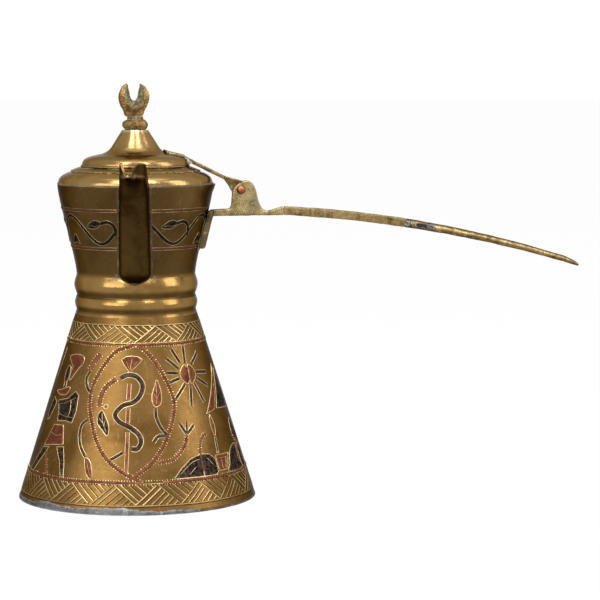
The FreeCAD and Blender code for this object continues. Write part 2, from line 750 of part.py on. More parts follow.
def handle_bar():
    """The flat first half of the handle, with a tenon soldered between the fork's cheeks."""
    upper = handle_arc(0, BAR_LENGTH, BAR_HEIGHT / 2)
    lower = handle_arc(0, BAR_LENGTH, -BAR_HEIGHT / 2)
    ends = [line(upper.Vertexes[i].Point, lower.Vertexes[i].Point) for i in (0, 1)]
    bar = across(sorted_face([upper, lower] + ends), BRACKET_DEPTH / 2)
    tenon = Part.makeBox(
        TENON_LENGTH + OVERLAP,
        SLOT_WIDTH,
        ARM_TOP_Z - SADDLE_DIP - SLOT_FLOOR_Z,
        FreeCAD.Vector(BRACKET_END_X - TENON_LENGTH, -SLOT_WIDTH / 2, SLOT_FLOOR_Z),
    )
    beyond = Part.makeBox(FAR, FAR, FAR, FreeCAD.Vector(BRACKET_END_X, -FAR / 2, 0))
    return tidy(bar.common(beyond).fuse(tenon.cut(beyond)).fuse(tenon.common(beyond).common(bar)))


def tail_section(run, height, depth):
    """An oval across the handle, with its underside on the tail's straight underside."""
    place, drop = handle_point(run)
    sink = (tail_height(run) - height) / 2
    place = place - at(math.sin(drop), math.cos(drop)) * sink
    wire = Part.Wire([Part.Ellipse(ORIGIN, depth / 2, height / 2).toShape()])
    lie_across = FreeCAD.Rotation(Z_AXIS, 90)
    face_along = FreeCAD.Rotation(Y_AXIS, 90 + math.degrees(drop))
    wire.Placement = FreeCAD.Placement(place, face_along.multiply(lie_across))
    return wire


def handle_tail():
    """The rounded second half of the handle, tapering to a tip that is bevelled from above."""
    sections = []
    for step in range(TAIL_STEPS + 1):
        run = BAR_LENGTH + (TAIL_LENGTH - TIP_LENGTH) * step / TAIL_STEPS
        sections.append(tail_section(run, tail_height(run), tail_depth(run)))
    for share, left in TIP_STATIONS:
        run = BAR_LENGTH + TAIL_LENGTH - TIP_LENGTH * (1 - share)
        sections.append(tail_section(run, left * tail_height(run), left * tail_depth(run)))
    return Part.makeLoft(sections, True, True)


def tail_height(run):
    """The tail's height at a length along the handle, from its root's to its tip's."""
    share = (run - BAR_LENGTH) / TAIL_LENGTH
    return TAIL_ROOT_HEIGHT + (TAIL_TIP_HEIGHT - TAIL_ROOT_HEIGHT) * share


def tail_depth(run):
    """The tail's depth at a length along the handle, from its root's to its tip's."""
    share = (run - BAR_LENGTH) / TAIL_LENGTH
    return TAIL_ROOT_DEPTH + (TAIL_TIP_DEPTH - TAIL_ROOT_DEPTH) * share


def splice_solder():
    """The patch of solder dressed flat over the joint of bar and tail, on the side towards the spout."""
    start, drop = handle_point(BAR_LENGTH)
    patch = Part.makeBox(
        SPLICE_LENGTH,
        SPLICE_THICK + TAIL_ROOT_DEPTH / 2,
        SPLICE_HEIGHT,
        FreeCAD.Vector(0, -TAIL_ROOT_DEPTH / 2 - SPLICE_THICK, -SPLICE_HEIGHT / 2),
    )
    patch.Placement = FreeCAD.Placement(start, FreeCAD.Rotation(Y_AXIS, math.degrees(drop)))
    return largest(patch.cut([handle_tail(), handle_bar()]))


def strap_line():
    """Where the strap leaves the lid's ledge and where it meets the tongue."""
    lid_end = at(LID_LEDGE_R, lid_foot_z() + LID_LEDGE_RISE + PAD_THICK - STRAP_SINK)
    reach = math.hypot(PIN_X - lid_end.x, PIN_Z - lid_end.z)
    share = (reach - TONGUE_LENGTH) / reach
    aim = at(PIN_X, PIN_Z + STRAP_AIM_SHARE * TONGUE_R)
    return lid_end, lid_end + (aim - lid_end) * share


def lid_strap():
    """The strap that carries the lid: a pad on the ledge, a thin arm, and a tongue round the rivet."""
    start, end = strap_line()
    pad = largest(pad_plan().common(moved(lid_outside(), z=PAD_THICK)).cut(lid_outside()))
    middle = (start + end) * 0.5 + at(0, -STRAP_SAG)
    drop = at(0, -STRAP_THICK)
    root = start - at(STRAP_ROOT, 0)
    top = bow(start, middle, end)
    under = bow(start + drop, middle + drop, end + drop)
    ends = [line(root, start), line(end, end + drop)]
    ends += [line(start + drop, root + drop), line(root + drop, root)]
    arm = largest(across(sorted_face([top, under] + ends), STRAP_HALF_WIDTH).cut(lid_outside()))
    return largest(tidy(pad.fuse(arm).fuse(tongue(end))))


def pad_plan():
    """The pad's leaf shape seen from above, as a tall prism."""
    outer_x = LID_LEDGE_R + PAD_LIP
    inner_x = LID_LEDGE_R - PAD_LENGTH
    nose_x = inner_x + PAD_NOSE_SHARE * PAD_LENGTH
    wide_x = inner_x + PAD_WIDE_SHARE * PAD_LENGTH
    nose_half = PAD_NOSE_WIDTH_SHARE * PAD_HALF_WIDTH
    right = [(nose_x, nose_half), (wide_x, PAD_HALF_WIDTH), (outer_x, STRAP_HALF_WIDTH)]
    corners = [at(inner_x, 0)]
    corners += [FreeCAD.Vector(x, -half, 0) for x, half in right]
    corners += [FreeCAD.Vector(x, half, 0) for x, half in reversed(right)]
    return polygon(*corners).extrude(FreeCAD.Vector(0, 0, FAR))


def tongue(strap_end):
    """The upright plate that swells from the strap to the eye round the rivet."""
    pin = at(PIN_X, PIN_Z)
    away = strap_end - pin
    lean = math.atan2(away.z, away.x)
    wrap = math.radians(TONGUE_WRAP_DEG)
    top = pin + at(math.cos(lean - wrap), math.sin(lean - wrap)) * TONGUE_R
    heel = pin + at(math.cos(lean + wrap), math.sin(lean + wrap)) * TONGUE_R
    round_back = pin + at(math.cos(lean + math.pi), math.sin(lean + math.pi)) * TONGUE_R
    lower = strap_end + at(0, -STRAP_THICK)
    side = face_of(
        [
            bow(strap_end, (strap_end + top) * 0.5 - at(TONGUE_HOLLOW, 0), top),
            arc(top, round_back, heel),
            bow(heel, (heel + lower) * 0.5 + at(TONGUE_HOLLOW, 0), lower),
            line(lower, strap_end),
        ]
    )
    return across(side, TONGUE_THICK / 2).cut(pin_bore(PIN_R + PIN_RUNNING_GAP))


def strap_solder():
    """The lump of solder in the corner under the strap, against the lid's side and foot."""
    start, end = strap_line()
    foot_z = lid_foot_z()
    side = at(LID_LEDGE_R, foot_z + LID_SIDE_RISE)
    foot = at(LID_SIDE_R, foot_z + LID_SHEET)
    under_strap = start + (end - start) * LUMP_SHARE + at(0, -STRAP_THICK / 2)
    wedge = across(polygon(side, foot, under_strap, start), LUMP_HALF_WIDTH)
    return largest(wedge.cut([lid_outside(), lid_strap()]))


def skirt_coat():
    """The thin layer on the skirt that the inlaid metal fills."""
    low = at(SKIRT_BASE_R, BASE_PLATE_THICK)
    high = at(WAIST_R, WAIST_Z)
    out = at(INLAY_THICK, 0)
    return turned_ring(low, low + out, high + out, high)


def neck_coat():
    """The thin layer on the neck that the inlaid metal fills."""
    return neck_core(INLAY_THICK).cut(neck_core())


def facing(face, angle):
    """A face drawn as seen from the front, made a prism through the wall at an angle from the spout."""
    prism = moved(face, y=-SKIRT_BASE_R - OVERLAP).extrude(FreeCAD.Vector(0, SKIRT_BASE_R, 0))
    prism.rotate(ORIGIN, Z_AXIS, angle)
    return prism


def smooth_edge(points):
    """A smooth edge through points."""
    curve = Part.BSplineCurve()
    curve.interpolate(points)
    return curve.toShape()


def ribbon(points, width):
    """A flat wire along points, square at both ends."""
    left = []
    right = []
    for i, here in enumerate(points):
        ahead = points[min(i + 1, len(points) - 1)] - points[max(i - 1, 0)]
        square = at(-ahead.z, ahead.x).normalize() * (width / 2)
        left.append(here + square)
        right.append(here - square)
    sides = [smooth_edge(left), smooth_edge(right)]
    sides += [line(left[0], right[0]), line(left[-1], right[-1])]
    return sorted_face(sides)


def blade(tip, foot, width):
    """A pointed leaf between two points."""
    along = foot - tip
    square = at(-along.z, along.x).normalize() * width
    middle = (tip + foot) * 0.5
    return face_of([bow(tip, middle + square, foot), bow(foot, middle - square, tip)])


def side_of(angle):
    """The way out of the pot at an angle from the spout."""
    turned = math.radians(angle)
    return FreeCAD.Vector(math.sin(turned), -math.cos(turned), 0)


def laid(faces, angle, coat):
    """Faces drawn from the front, laid on the wall as separate plates."""
    solids = []
    for face in faces:
        found = facing(face, angle).common(coat)
        solids += [s for s in found.Solids if s.CenterOfMass.dot(side_of(angle)) > 0]
    return solids


def on_panels(faces, from_panel=0.0):
    """Faces laid on the skirt once for each panel, at an angle from the panel's middle."""
    return [s for angle in PANEL_ANGLES for s in laid(faces, angle + from_panel, skirt_coat())]


def band_point(across_share, up_share):
    """A point of a motif: sideways in half widths of the oval, and up in heights of the picture band."""
    height = FRIEZE_FOOT + up_share * (FRIEZE_TOP - FRIEZE_FOOT)
    return at(across_share * OVAL_HALF_WIDTH, height)


def band_polygon(*shares):
    """A plate with straight sides, its corners given as points of a motif."""
    return polygon(*[band_point(*share) for share in shares])


def band_ribbon(width, *shares):
    """A flat wire along points of a motif."""
    return ribbon([band_point(*share) for share in shares], width)


def band_blade(tip, foot, width):
    """A pointed leaf between two points of a motif."""
    return blade(band_point(*tip), band_point(*foot), width)


def ring_wire(radius_at, z):
    """A flat wire let round the wall at one height."""
    low, high = z - LINE_WIRE_WIDTH / 2, z + LINE_WIRE_WIDTH / 2
    return turned_ring(
        at(radius_at(low), low),
        at(radius_at(low) + INLAY_THICK, low),
        at(radius_at(high) + INLAY_THICK, high),
        at(radius_at(high), high),
    )


def frieze_lines():
    """The two copper wires that bound the skirt's picture band."""
    return [ring_wire(skirt_radius, z) for z in (FRIEZE_FOOT, FRIEZE_TOP)]


def neck_lines():
    """The two copper wires that bound the neck's vine."""
    rings = []
    for z in (NECK_LINE_LOW, NECK_LINE_HIGH):
        foot = at(0, z - LINE_WIRE_WIDTH / 2)
        rings.append(neck_coat().common(Part.makeCylinder(FAR, LINE_WIRE_WIDTH, foot)))
    return clear_of_fittings(rings)


def clear_of_fittings(solids):
    """What is left of wires on the neck beside the spout and the bracket's tab."""
    half = spout_half_width(-NECK_R) + SPOUT_SOLDER_WIDTH + INLAY_GAP
    corner = FreeCAD.Vector(-half, -RIM_R - OVERLAP, WAIST_Z)
    spout_room = Part.makeBox(2 * half, RIM_R + OVERLAP, RIM_Z, corner)
    margin = TAB_SOLDER_MARGIN + INLAY_GAP
    tab_foot = FreeCAD.Vector(0, -TAB_HALF_WIDTH - margin, TAB_FOOT_Z - margin)
    tab_room = Part.makeBox(FAR, 2 * (TAB_HALF_WIDTH + margin), ARM_TOP_Z - tab_foot.z, tab_foot)
    kept = []
    for solid in solids:
        kept += solid.cut([spout_room, tab_room]).Solids
    return [s for s in kept if s.Volume > INLAY_THICK**3]


def vine_height(wave_share):
    """The vine's height on the neck at a share of one wave, highest at the spout."""
    middle = (NECK_LINE_LOW + NECK_LINE_HIGH) / 2
    swing = (NECK_LINE_HIGH - NECK_LINE_LOW) / 2 - VINE_MARGIN
    return middle + swing * math.cos(2 * math.pi * wave_share)


def vine_stem():
    """The dark wire that waves round the neck, one length for each wave."""
    wave = 360.0 / VINE_WAVES
    mean_r = (NECK_R + RIM_R) / 2
    points = []
    for step in range(VINE_STEPS + 1):
        share = step / VINE_STEPS
        points.append(at(mean_r * math.sin(math.radians(wave * (share - 0.5))), vine_height(share)))
    stem = ribbon(points, STEM_WIRE_WIDTH)
    lengths = []
    for i in range(VINE_WAVES):
        lengths += laid([stem], wave * (i + 0.5), neck_coat())
    return clear_of_fittings(lengths)


def vine_leaves():
    """Dark leaves, one in each trough of the vine and one under each crest."""
    wave = 360.0 / VINE_WAVES
    middle = vine_height(0.25)
    half = LEAF_LENGTH / 2
    in_trough = blade(at(-half, middle + LEAF_RISE), at(half, middle + LEAF_RISE / 3), LEAF_WIDTH)
    under_crest = blade(at(-half, middle - LEAF_RISE), at(half, middle - LEAF_RISE / 3), LEAF_WIDTH)
    leaves = []
    for i in range(VINE_WAVES):
        leaves += laid([in_trough], wave * (i + 0.5), neck_coat())
        leaves += laid([under_crest], wave * i, neck_coat())
    return clear_of_fittings(leaves)


def oval_points(side, margin):
    """Points up one side of the pointed oval, or a margin outside it."""
    points = []
    for step in range(OVAL_STEPS + 1):
        lean = math.pi * step / OVAL_STEPS
        bulge = side * math.sin(lean) ** OVAL_POINTING
        rise = 0.5 - OVAL_HALF_HEIGHT_SHARE * math.cos(lean)
        points.append(band_point(bulge, rise) + at(side * margin, 0))
    return points


def oval_field():
    """The whole of the pointed oval, out past its wire."""
    margin = LINE_WIRE_WIDTH / 2 + INLAY_GAP
    right, left = oval_points(1, margin), oval_points(-1, margin)
    ends = [line(right[0], left[0]), line(right[-1], left[-1])]
    return sorted_face([smooth_edge(right), smooth_edge(left)] + ends)


def medallion_side(side):
    """One bowed wire of the pointed oval."""
    return ribbon(oval_points(side, 0.0), LINE_WIRE_WIDTH)


def medallions():
    """The pointed ovals of copper wire, each a right and a left wire that meet at the points."""
    right = on_panels([medallion_side(1)])
    left = on_panels([medallion_side(-1)])
    return right + [s for wire in left for s in wire.cut(right).Solids]


def serpent_face(width):
    """A serpent that winds round the staff, from its head to its tail."""
    shares = [(-0.30, 0.765)]
    for step in range(SERPENT_STEPS + 1):
        share = step / SERPENT_STEPS
        bend = math.sin(2 * math.pi * SERPENT_TURNS * share + SERPENT_LEAD)
        height = SERPENT_TOP_SHARE - SERPENT_DROP_SHARE * share
        shares.append((STAFF_SHARE + SERPENT_SWING_SHARE * bend, height))
    shares.append((-0.48, 0.17))
    return band_ribbon(width, *shares)


def serpents():
    """The dark serpents, one on each panel."""
    return on_panels([serpent_face(SERPENT_WIDTH)])


def lotus_staffs():
    """A copper staff under an open lotus, cut where the serpent passes over it."""
    staff = band_ribbon(STAFF_WIDTH, (STAFF_SHARE, 0.1), (STAFF_SHARE, 0.4), (STAFF_SHARE, 0.75))
    foot = band_point(STAFF_SHARE, 0.80)
    left = band_point(STAFF_SHARE - 0.21, 0.88)
    right = band_point(STAFF_SHARE + 0.21, 0.88)
    lotus = face_of(
        [
            bow(foot, band_point(STAFF_SHARE - 0.09, 0.85), left),
            bow(left, band_point(STAFF_SHARE, 0.945), right),
            bow(right, band_point(STAFF_SHARE + 0.09, 0.85), foot),
        ]
    )
    over = serpent_face(SERPENT_WIDTH + 2 * INLAY_GAP)
    return on_panels([piece for face in (staff, lotus) for piece in face.cut(over).Faces])


def copper_sprays():
    """Copper buds and stems of the plants in and beside the oval."""
    return on_panels(
        [
            band_blade((0.53, 0.74), (0.51, 0.54), BUD_WIDTH),
            band_blade((-0.42, 0.74), (-0.79, 0.54), LEAF_WIDTH),
            band_blade((-0.81, 0.93), (-1.07, 0.82), LEAF_WIDTH),
            band_ribbon(STEM_WIRE_WIDTH, (0.76, 0.13), (1.0, 0.16), (1.2, 0.24), (1.28, 0.33)),
        ]
    )


def dark_sprays():
    """Dark leaves and stems of the plants in and beside the oval."""
    return on_panels(
        [
            band_blade((-0.82, 0.50), (-0.67, 0.34), BUD_WIDTH),
            band_ribbon(STEM_WIRE_WIDTH, (0.52, 0.52), (0.59, 0.43), (0.74, 0.345)),
            band_ribbon(STEM_WIRE_WIDTH, (-1.13, 0.76), (-1.2, 0.71), (-1.12, 0.65)),
            band_blade((1.11, 0.415), (1.27, 0.345), PETAL_WIDTH),
            band_blade((1.46, 0.40), (1.30, 0.345), PETAL_WIDTH),
        ]
    )


def suns():
    """Copper discs of the suns."""
    rim = Part.Circle(band_point(0, SUN_SHARE), Y_AXIS, SUN_R)
    return on_panels([Part.Face(Part.Wire(rim.toShape()))], SUN_FROM_PANEL)


def sun_rays():
    """Dark wires set round each sun, cut short beside the oval."""
    centre = band_point(0, SUN_SHARE)
    rays = []
    for i in range(SUN_RAYS):
        lean = 2 * math.pi * (i + 0.5) / SUN_RAYS
        aim = at(math.sin(lean), math.cos(lean))
        ends = [centre + aim * (SUN_R + RAY_GAP), centre + aim * (SUN_R + RAY_GAP + RAY_LENGTH)]
        rays.append(ribbon(ends, STEM_WIRE_WIDTH))
    ovals = [facing(oval_field(), angle) for angle in PANEL_ANGLES]
    return [s for ray in on_panels(rays, SUN_FROM_PANEL) for s in ray.cut(ovals).Solids]


def pyramid_corners(side):
    """The outer corner of one side of a pyramid, and its apex and near corner, drawn apart by the gap."""
    gap = at(side * INLAY_GAP, 0)
    foot = band_point(0, PYRAMID_FOOT_SHARE)
    apex = band_point(0, PYRAMID_APEX_SHARE) + gap
    near = foot + at(-PYRAMID_RIDGE_SHARE * PYRAMID_HALF_WIDTH, 0) + gap
    outer = foot + at(side * PYRAMID_HALF_WIDTH, 0)
    return apex, near, outer


def pyramids(side):
    """The lit side of each pyramid, -1, or its shaded side, 1."""
    return on_panels([polygon(*pyramid_corners(side))], PYRAMID_FROM_PANEL)


def figure_copper():
    """The copper headdress, collar and kilt of a standing figure."""
    crown = band_polygon(
        (-0.37, 0.89), (-0.06, 0.91), (0.12, 0.87), (0.02, 0.77), (-0.19, 0.72), (-0.14, 0.82)
    )
    collar = band_polygon((-0.44, 0.625), (-0.29, 0.665), (-0.08, 0.655), (-0.20, 0.60))
    kilt = band_polygon((-0.36, 0.37), (0.03, 0.37), (0.13, 0.235), (-0.53, 0.225))
    return on_panels([crown, collar, kilt], FIGURE_FROM_PANEL)


def figure_dark():
    """The dark head, body and legs of a standing figure."""
    head = band_polygon((-0.40, 0.80), (-0.19, 0.81), (-0.22, 0.685), (-0.34, 0.685))
    body = band_polygon((-0.47, 0.585), (-0.20, 0.585), (0.14, 0.64), (0.08, 0.40), (-0.31, 0.40))
    fore_leg = band_polygon((-0.54, 0.205), (-0.39, 0.205), (-0.71, 0.02), (-0.89, 0.02))
    rear_leg = band_polygon((-0.03, 0.215), (0.14, 0.215), (0.20, 0.02), (0.07, 0.02))
    return on_panels([head, body, fore_leg, rear_leg], FIGURE_FROM_PANEL)


def node(name, shape):
    """Writes one named piece, or a group of like pieces, to its own file."""
    solids = shape if isinstance(shape, list) else shape.Solids
    whole = solids[0] if len(solids) == 1 else Part.makeCompound(solids)
    whole.exportStep(os.path.join("parts", name + ".step"))
    volume = sum(s.Volume for s in solids)
    print(f"{name}: {len(solids)} solid, {volume:.1f} mm3, valid {whole.isValid()}")


def main():
    """Builds every piece and writes it under its node's name."""
    os.makedirs("parts", exist_ok=True)
    node("skirt", skirt())
    node("base_plate", base_plate())
    node("base_solder_bead", base_solder())
    node("waist_solder_ring", waist_solder())
    node("neck", neck())
    node("shoulder", shoulder())
    node("rim_solder_line", rim_solder())
    node("spout", spout())
    node("spout_solder_seam", spout_solder())
    node("handle_bracket", handle_bracket())
    node("bracket_solder_film", tab_solder())
    node("hinge_rivet", hinge_rivet())
    node("handle_bar", handle_bar())
    node("handle_tail", handle_tail())
    node("splice_solder_patch", splice_solder())
    node("lid_cap", lid_cap())
    node("lid_collar", lid_collar())
    node("finial", finial())
    node("finial_rove", finial_rove())
    node("lid_strap", lid_strap())
    node("strap_solder_lump", strap_solder())
    node("frieze_line_wires", frieze_lines())
    node("neck_line_wires", neck_lines())
    node("vine_stem_wire", vine_stem())
    node("vine_leaf_plates", vine_leaves())
    node("medallion_wires", medallions())
    node("serpent_wires", serpents())
    node("lotus_staffs", lotus_staffs())
    node("copper_spray_plates", copper_sprays())
    node("dark_spray_plates", dark_sprays())
    node("sun_discs", suns())
    node("sun_ray_wires", sun_rays())
    node("pyramid_lit_plates", pyramids(-1))
    node("pyramid_shade_plates", pyramids(1))
    node("figure_copper_plates", figure_copper())
    node("figure_dark_plates", figure_dark())


main()
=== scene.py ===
import logging
import math
from dataclasses import dataclass, field, replace
from enum import Enum
from typing import Callable, ClassVar, Sequence, Union

import bmesh
import bpy
import numpy as np
from mathutils import Matrix, Vector, noise


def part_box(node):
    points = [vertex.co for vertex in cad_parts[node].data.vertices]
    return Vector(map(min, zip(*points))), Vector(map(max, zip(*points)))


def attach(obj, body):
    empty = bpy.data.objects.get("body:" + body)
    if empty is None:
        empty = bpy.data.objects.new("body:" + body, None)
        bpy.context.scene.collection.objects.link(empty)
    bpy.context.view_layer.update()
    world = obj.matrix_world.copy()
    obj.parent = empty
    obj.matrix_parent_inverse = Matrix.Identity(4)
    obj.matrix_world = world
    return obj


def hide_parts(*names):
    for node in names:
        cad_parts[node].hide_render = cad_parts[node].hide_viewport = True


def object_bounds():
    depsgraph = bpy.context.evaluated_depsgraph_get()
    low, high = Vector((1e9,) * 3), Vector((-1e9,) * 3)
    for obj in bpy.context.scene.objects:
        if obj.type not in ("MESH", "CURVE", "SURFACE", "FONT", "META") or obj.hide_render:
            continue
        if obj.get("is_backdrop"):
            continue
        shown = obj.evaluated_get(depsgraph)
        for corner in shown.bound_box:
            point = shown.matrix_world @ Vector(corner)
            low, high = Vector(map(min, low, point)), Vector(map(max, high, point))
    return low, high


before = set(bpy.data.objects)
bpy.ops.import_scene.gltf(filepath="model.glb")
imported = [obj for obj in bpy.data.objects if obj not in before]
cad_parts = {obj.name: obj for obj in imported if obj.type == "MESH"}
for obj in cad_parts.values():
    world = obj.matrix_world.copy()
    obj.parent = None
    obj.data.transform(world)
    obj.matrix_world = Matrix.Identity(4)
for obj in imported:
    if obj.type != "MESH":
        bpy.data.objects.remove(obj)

log = logging.getLogger("coffee_pot")
MM = 0.001
Mesh = bpy.types.Mesh
NodeTree = bpy.types.NodeTree
NodeSocket = bpy.types.NodeSocket
Collection = bpy.types.bpy_prop_collection
Socket = Union[NodeSocket, float, int, bool, tuple, str]
Triple = tuple[float, float, float]
Point = tuple[float, float]
Points = tuple[Point, ...]
Path = Sequence[Point]
Spot = tuple[Triple, float, float]
Grain = Sequence[Point]
Shift = Callable[[float, float, float], Point]
PatinaAndShade = Callable[[float, float, float], float]


class Body(Enum):
    """The two bodies of the pot."""

    POT = "pot"
    LID = "lid"


class Slot(Enum):
    """The record's material slots."""

    SHEET_BRASS = "sheet_brass"
    CAST_BRASS = "cast_brass"
    TIN_SOLDER = "tin_solder"
    COPPER_INLAY = "copper_inlay"
    DARK_INLAY = "dark_inlay"
    COPPER_RIVET = "copper_rivet"


def unit(value: float) -> float:
    """A value kept between 0 and 1."""
    return min(max(value, 0.0), 1.0)


class Net:
    """A node tree with short ways to add to it."""

    def __init__(self, tree: NodeTree) -> None:
        """Keeps the tree at hand."""
        self.tree = tree

    def fill(self, socket: NodeSocket, value: Socket) -> None:
        """Links a value's socket to an input, or sets the input to a plain value.

        Args:
            socket: the input.
            value: a socket or a plain value.
        """
        if isinstance(value, NodeSocket):
            self.tree.links.new(value, socket)
        else:
            socket.default_value = value

    def node(self, kind: str, inputs: dict | None = None, **settings: object) -> Collection:
        """Adds one node and fills its inputs.

        Args:
            kind: the node's type name.
            inputs: values or sockets, by the input's name or number.
            settings: properties of the node itself.

        Returns:
            The new node's outputs.
        """
        node = self.tree.nodes.new(kind)
        for name, value in settings.items():
            setattr(node, name, value)
        for key, value in (inputs or {}).items():
            self.fill(node.inputs[key], value)
        return node.outputs

    def add(self, kind: str, inputs: dict | None = None, **settings: object) -> NodeSocket:
        """Adds one node in the same way and gives its first output."""
        return self.node(kind, inputs, **settings)[0]

    def maths(self, operation: str, *values: Socket) -> NodeSocket:
        """The result of a Math node on sockets or numbers."""
        return self.add("ShaderNodeMath", dict(enumerate(values)), operation=operation)

    def times(self, first: Socket, second: Socket) -> NodeSocket:
        """The product of two numbers."""
        return self.maths("MULTIPLY", first, second)

    def plus(self, first: Socket, second: Socket) -> NodeSocket:
        """The sum of two numbers."""
        return self.maths("ADD", first, second)

    def minus(self, first: Socket, second: Socket) -> NodeSocket:
        """The difference of two numbers."""
        return self.maths("SUBTRACT", first, second)

    def vector(self, operation: str, inputs: dict) -> NodeSocket:
        """The result of a Vector Math node."""
        return self.add("ShaderNodeVectorMath", inputs, operation=operation)

    def axes(self, **parts: Socket) -> NodeSocket:
        """A vector from its X, Y and Z."""
        return self.add("ShaderNodeCombineXYZ", parts)

    def ranged(self, value: Socket, low: Socket, high: Socket, to_low: float = 0.0,
               to_high: float = 1.0) -> NodeSocket:
        """A value eased from one range, low to high, to another."""
        inputs = {"Value": value, "From Min": low, "From Max": high, "To Min": to_low, "To Max": to_high}
        return self.add("ShaderNodeMapRange", inputs, interpolation_type="SMOOTHSTEP")

    def mixed(self, share: Socket, first: Socket, second: Socket) -> NodeSocket:
        """A mix of two colours, with a share of the second."""
        first, second = ((*value, 1.0) if isinstance(value, tuple) else value for value in (first, second))
        return self.node("ShaderNodeMix", {0: share, 6: first, 7: second}, data_type="RGBA")[2]

    def cloudy(self, place: NodeSocket, scale: Socket, detail: float, roughness: float = 0.5,
               distortion: float = 0.0) -> NodeSocket:
        """Noise at a place.

        Args:
            place: the place.
            scale: how fine it is.
            detail: how many octaves it has.
            roughness: how strong the finer octaves are.
            distortion: how far it is drawn about.

        Returns:
            The noise.
        """
        inputs = {"Vector": place, "Scale": scale, "Detail": detail, "Roughness": roughness,
                  "Distortion": distortion}
        return self.add("ShaderNodeTexNoise", inputs)

    def group(self, tree: NodeTree, **inputs: Socket) -> Collection:
        """Places a shared group, fills its inputs by name and gives its outputs."""
        return self.node("ShaderNodeGroup", inputs, node_tree=tree)


class Group(Net):
    """A new node group with named sockets."""

    def __init__(self, name: str, kind: str, inputs: dict[str, str], outputs: dict[str, str]) -> None:
        """Makes the group.

        Args:
            name: the group's name.
            kind: its kind, Shader or Geometry.
            inputs: socket kinds by name.
            outputs: socket kinds by name.
        """
        super().__init__(bpy.data.node_groups.new(name, kind + "NodeTree"))
        for names, side in ((inputs, "INPUT"), (outputs, "OUTPUT")):
            for label, socket in names.items():
                self.tree.interface.new_socket(label, in_out=side, socket_type="NodeSocket" + socket)
        self.given = self.tree.nodes.new("NodeGroupInput").outputs
        self.out = self.tree.nodes.new("NodeGroupOutput").inputs


class SurfaceEffects:
    """Shader node groups that the finishes share."""

    def __init__(self) -> None:
        """Builds each group once."""
        self.tarnish = self._tarnish()
        self.pitting = self._pitting()
        self.scratches = self._scratches()
        self.crust = self._crust()
        self.file_marks = self._file_marks()

    @staticmethod
    def _start(name: str, inputs: str, outputs: str) -> tuple[Group, NodeSocket]:
        """Starts a group whose sockets are numbers, apart from a Colour.

        Args:
            name: the group's name.
            inputs: the names of its inputs.
            outputs: the names of its outputs.

        Returns:
            The group and the place on the object.
        """
        kinds = ({label: "Color" if label == "Colour" else "Float" for label in labels.split()}
                 for labels in (inputs, outputs))
        net = Group(name, "Shader", *kinds)
        return net, net.node("ShaderNodeTexCoord")["Object"]

    @staticmethod
    def _end(net: Group, **results: NodeSocket) -> NodeTree:
        """Ends a group.

        Args:
            net: the group.
            results: what it puts out, by name.

        Returns:
            The group's tree.
        """
        for label, result in results.items():
            net.fill(net.out[label], result)
        return net.tree

    def _file_marks(self) -> NodeTree:
        """Broken strokes of a coarse file, in wide bows.

        Returns:
            The group's tree.
        """
        net, place = self._start("file_marks", "Scale", "Mask")
        laid = net.add("ShaderNodeMapping", {"Vector": place, "Location": (-0.030, 0.0, -0.118)})
        inputs = {"Vector": laid, "Scale": net.given["Scale"], "Distortion": 2.5, "Detail": 3.0,
                  "Detail Scale": 2.0}
        bows = net.node("ShaderNodeTexWave", inputs, wave_type="RINGS", rings_direction="Y")["Fac"]
        breaks = net.cloudy(place, 420.0, 3.0)
        return self._end(net, Mask=net.times(net.ranged(bows, 0.55, 0.9), net.ranged(breaks, 0.42, 0.6)))

    def _tarnish(self) -> NodeTree:
        """Clouds of tarnish with a fine speckle in them.

        Returns:
            The group's tree.
        """
        net, place = self._start("tarnish", "Scale Cover", "Cloud Speckle")
        broad = net.cloudy(place, net.given["Scale"], 7.0, 0.62, 0.4)
        level = net.minus(0.72, net.times(net.given["Cover"], 0.45))
        cloud = net.ranged(broad, net.minus(level, 0.1), net.plus(level, 0.24))
        fine = net.cloudy(place, net.times(net.given["Scale"], 16.0), 4.0, 0.7)
        return self._end(net, Cloud=cloud, Speckle=net.ranged(fine, 0.35, 0.68))

    def _pitting(self) -> NodeTree:
        """Scattered round pits.

        Returns:
            The group's tree.
        """
        net, place = self._start("pitting", "Scale Share", "Mask")
        inputs = {"Vector": place, "Scale": net.given["Scale"], "Randomness": 1.0}
        cells = net.node("ShaderNodeTexVoronoi", inputs)
        draw = net.add("ShaderNodeSeparateColor", {"Color": cells["Color"]})
        chosen = net.maths("LESS_THAN", draw, net.given["Share"])
        return self._end(net, Mask=net.times(chosen, net.ranged(cells["Distance"], 0.08, 0.34, 1.0, 0.0)))

    def _scratches(self) -> NodeTree:
        """Fine hair scratches, along and across the wall.

        Returns:
            The group's tree.
        """
        net, place = self._start("scratches", "Scale Share", "Mask")
        level = net.minus(0.75, net.times(net.given["Share"], 0.25))
        masks = []
        for turn, stretch in (((0.3, 0.9, 0.2), (1.0, 1.0, 0.03)), ((1.2, 0.1, 0.7), (0.04, 1.0, 1.0))):
            laid = net.add("ShaderNodeMapping", {"Vector": place, "Rotation": turn, "Scale": stretch})
            hairs = net.cloudy(laid, net.given["Scale"], 2.0)
            masks.append(net.ranged(hairs, level, net.plus(level, 0.06)))
        return self._end(net, Mask=net.maths("MAXIMUM", *masks))

    def _crust(self) -> NodeTree:
        """Verdigris and grime that gather in hollows.

        Returns:
            The group's tree.
        """
        net, place = self._start("crust", "Hollow Amount", "Crust Colour")
        grain = net.cloudy(place, 900.0, 5.0, 0.65)
        reach = net.times(net.given["Hollow"], net.given["Amount"])
        crust = net.ranged(net.plus(reach, net.times(grain, 0.7)), 0.62, 0.95)
        tint = net.mixed(net.ranged(grain, 0.4, 0.62), (0.070, 0.057, 0.027), (0.20, 0.188, 0.105))
        return self._end(net, Crust=crust, Colour=tint)


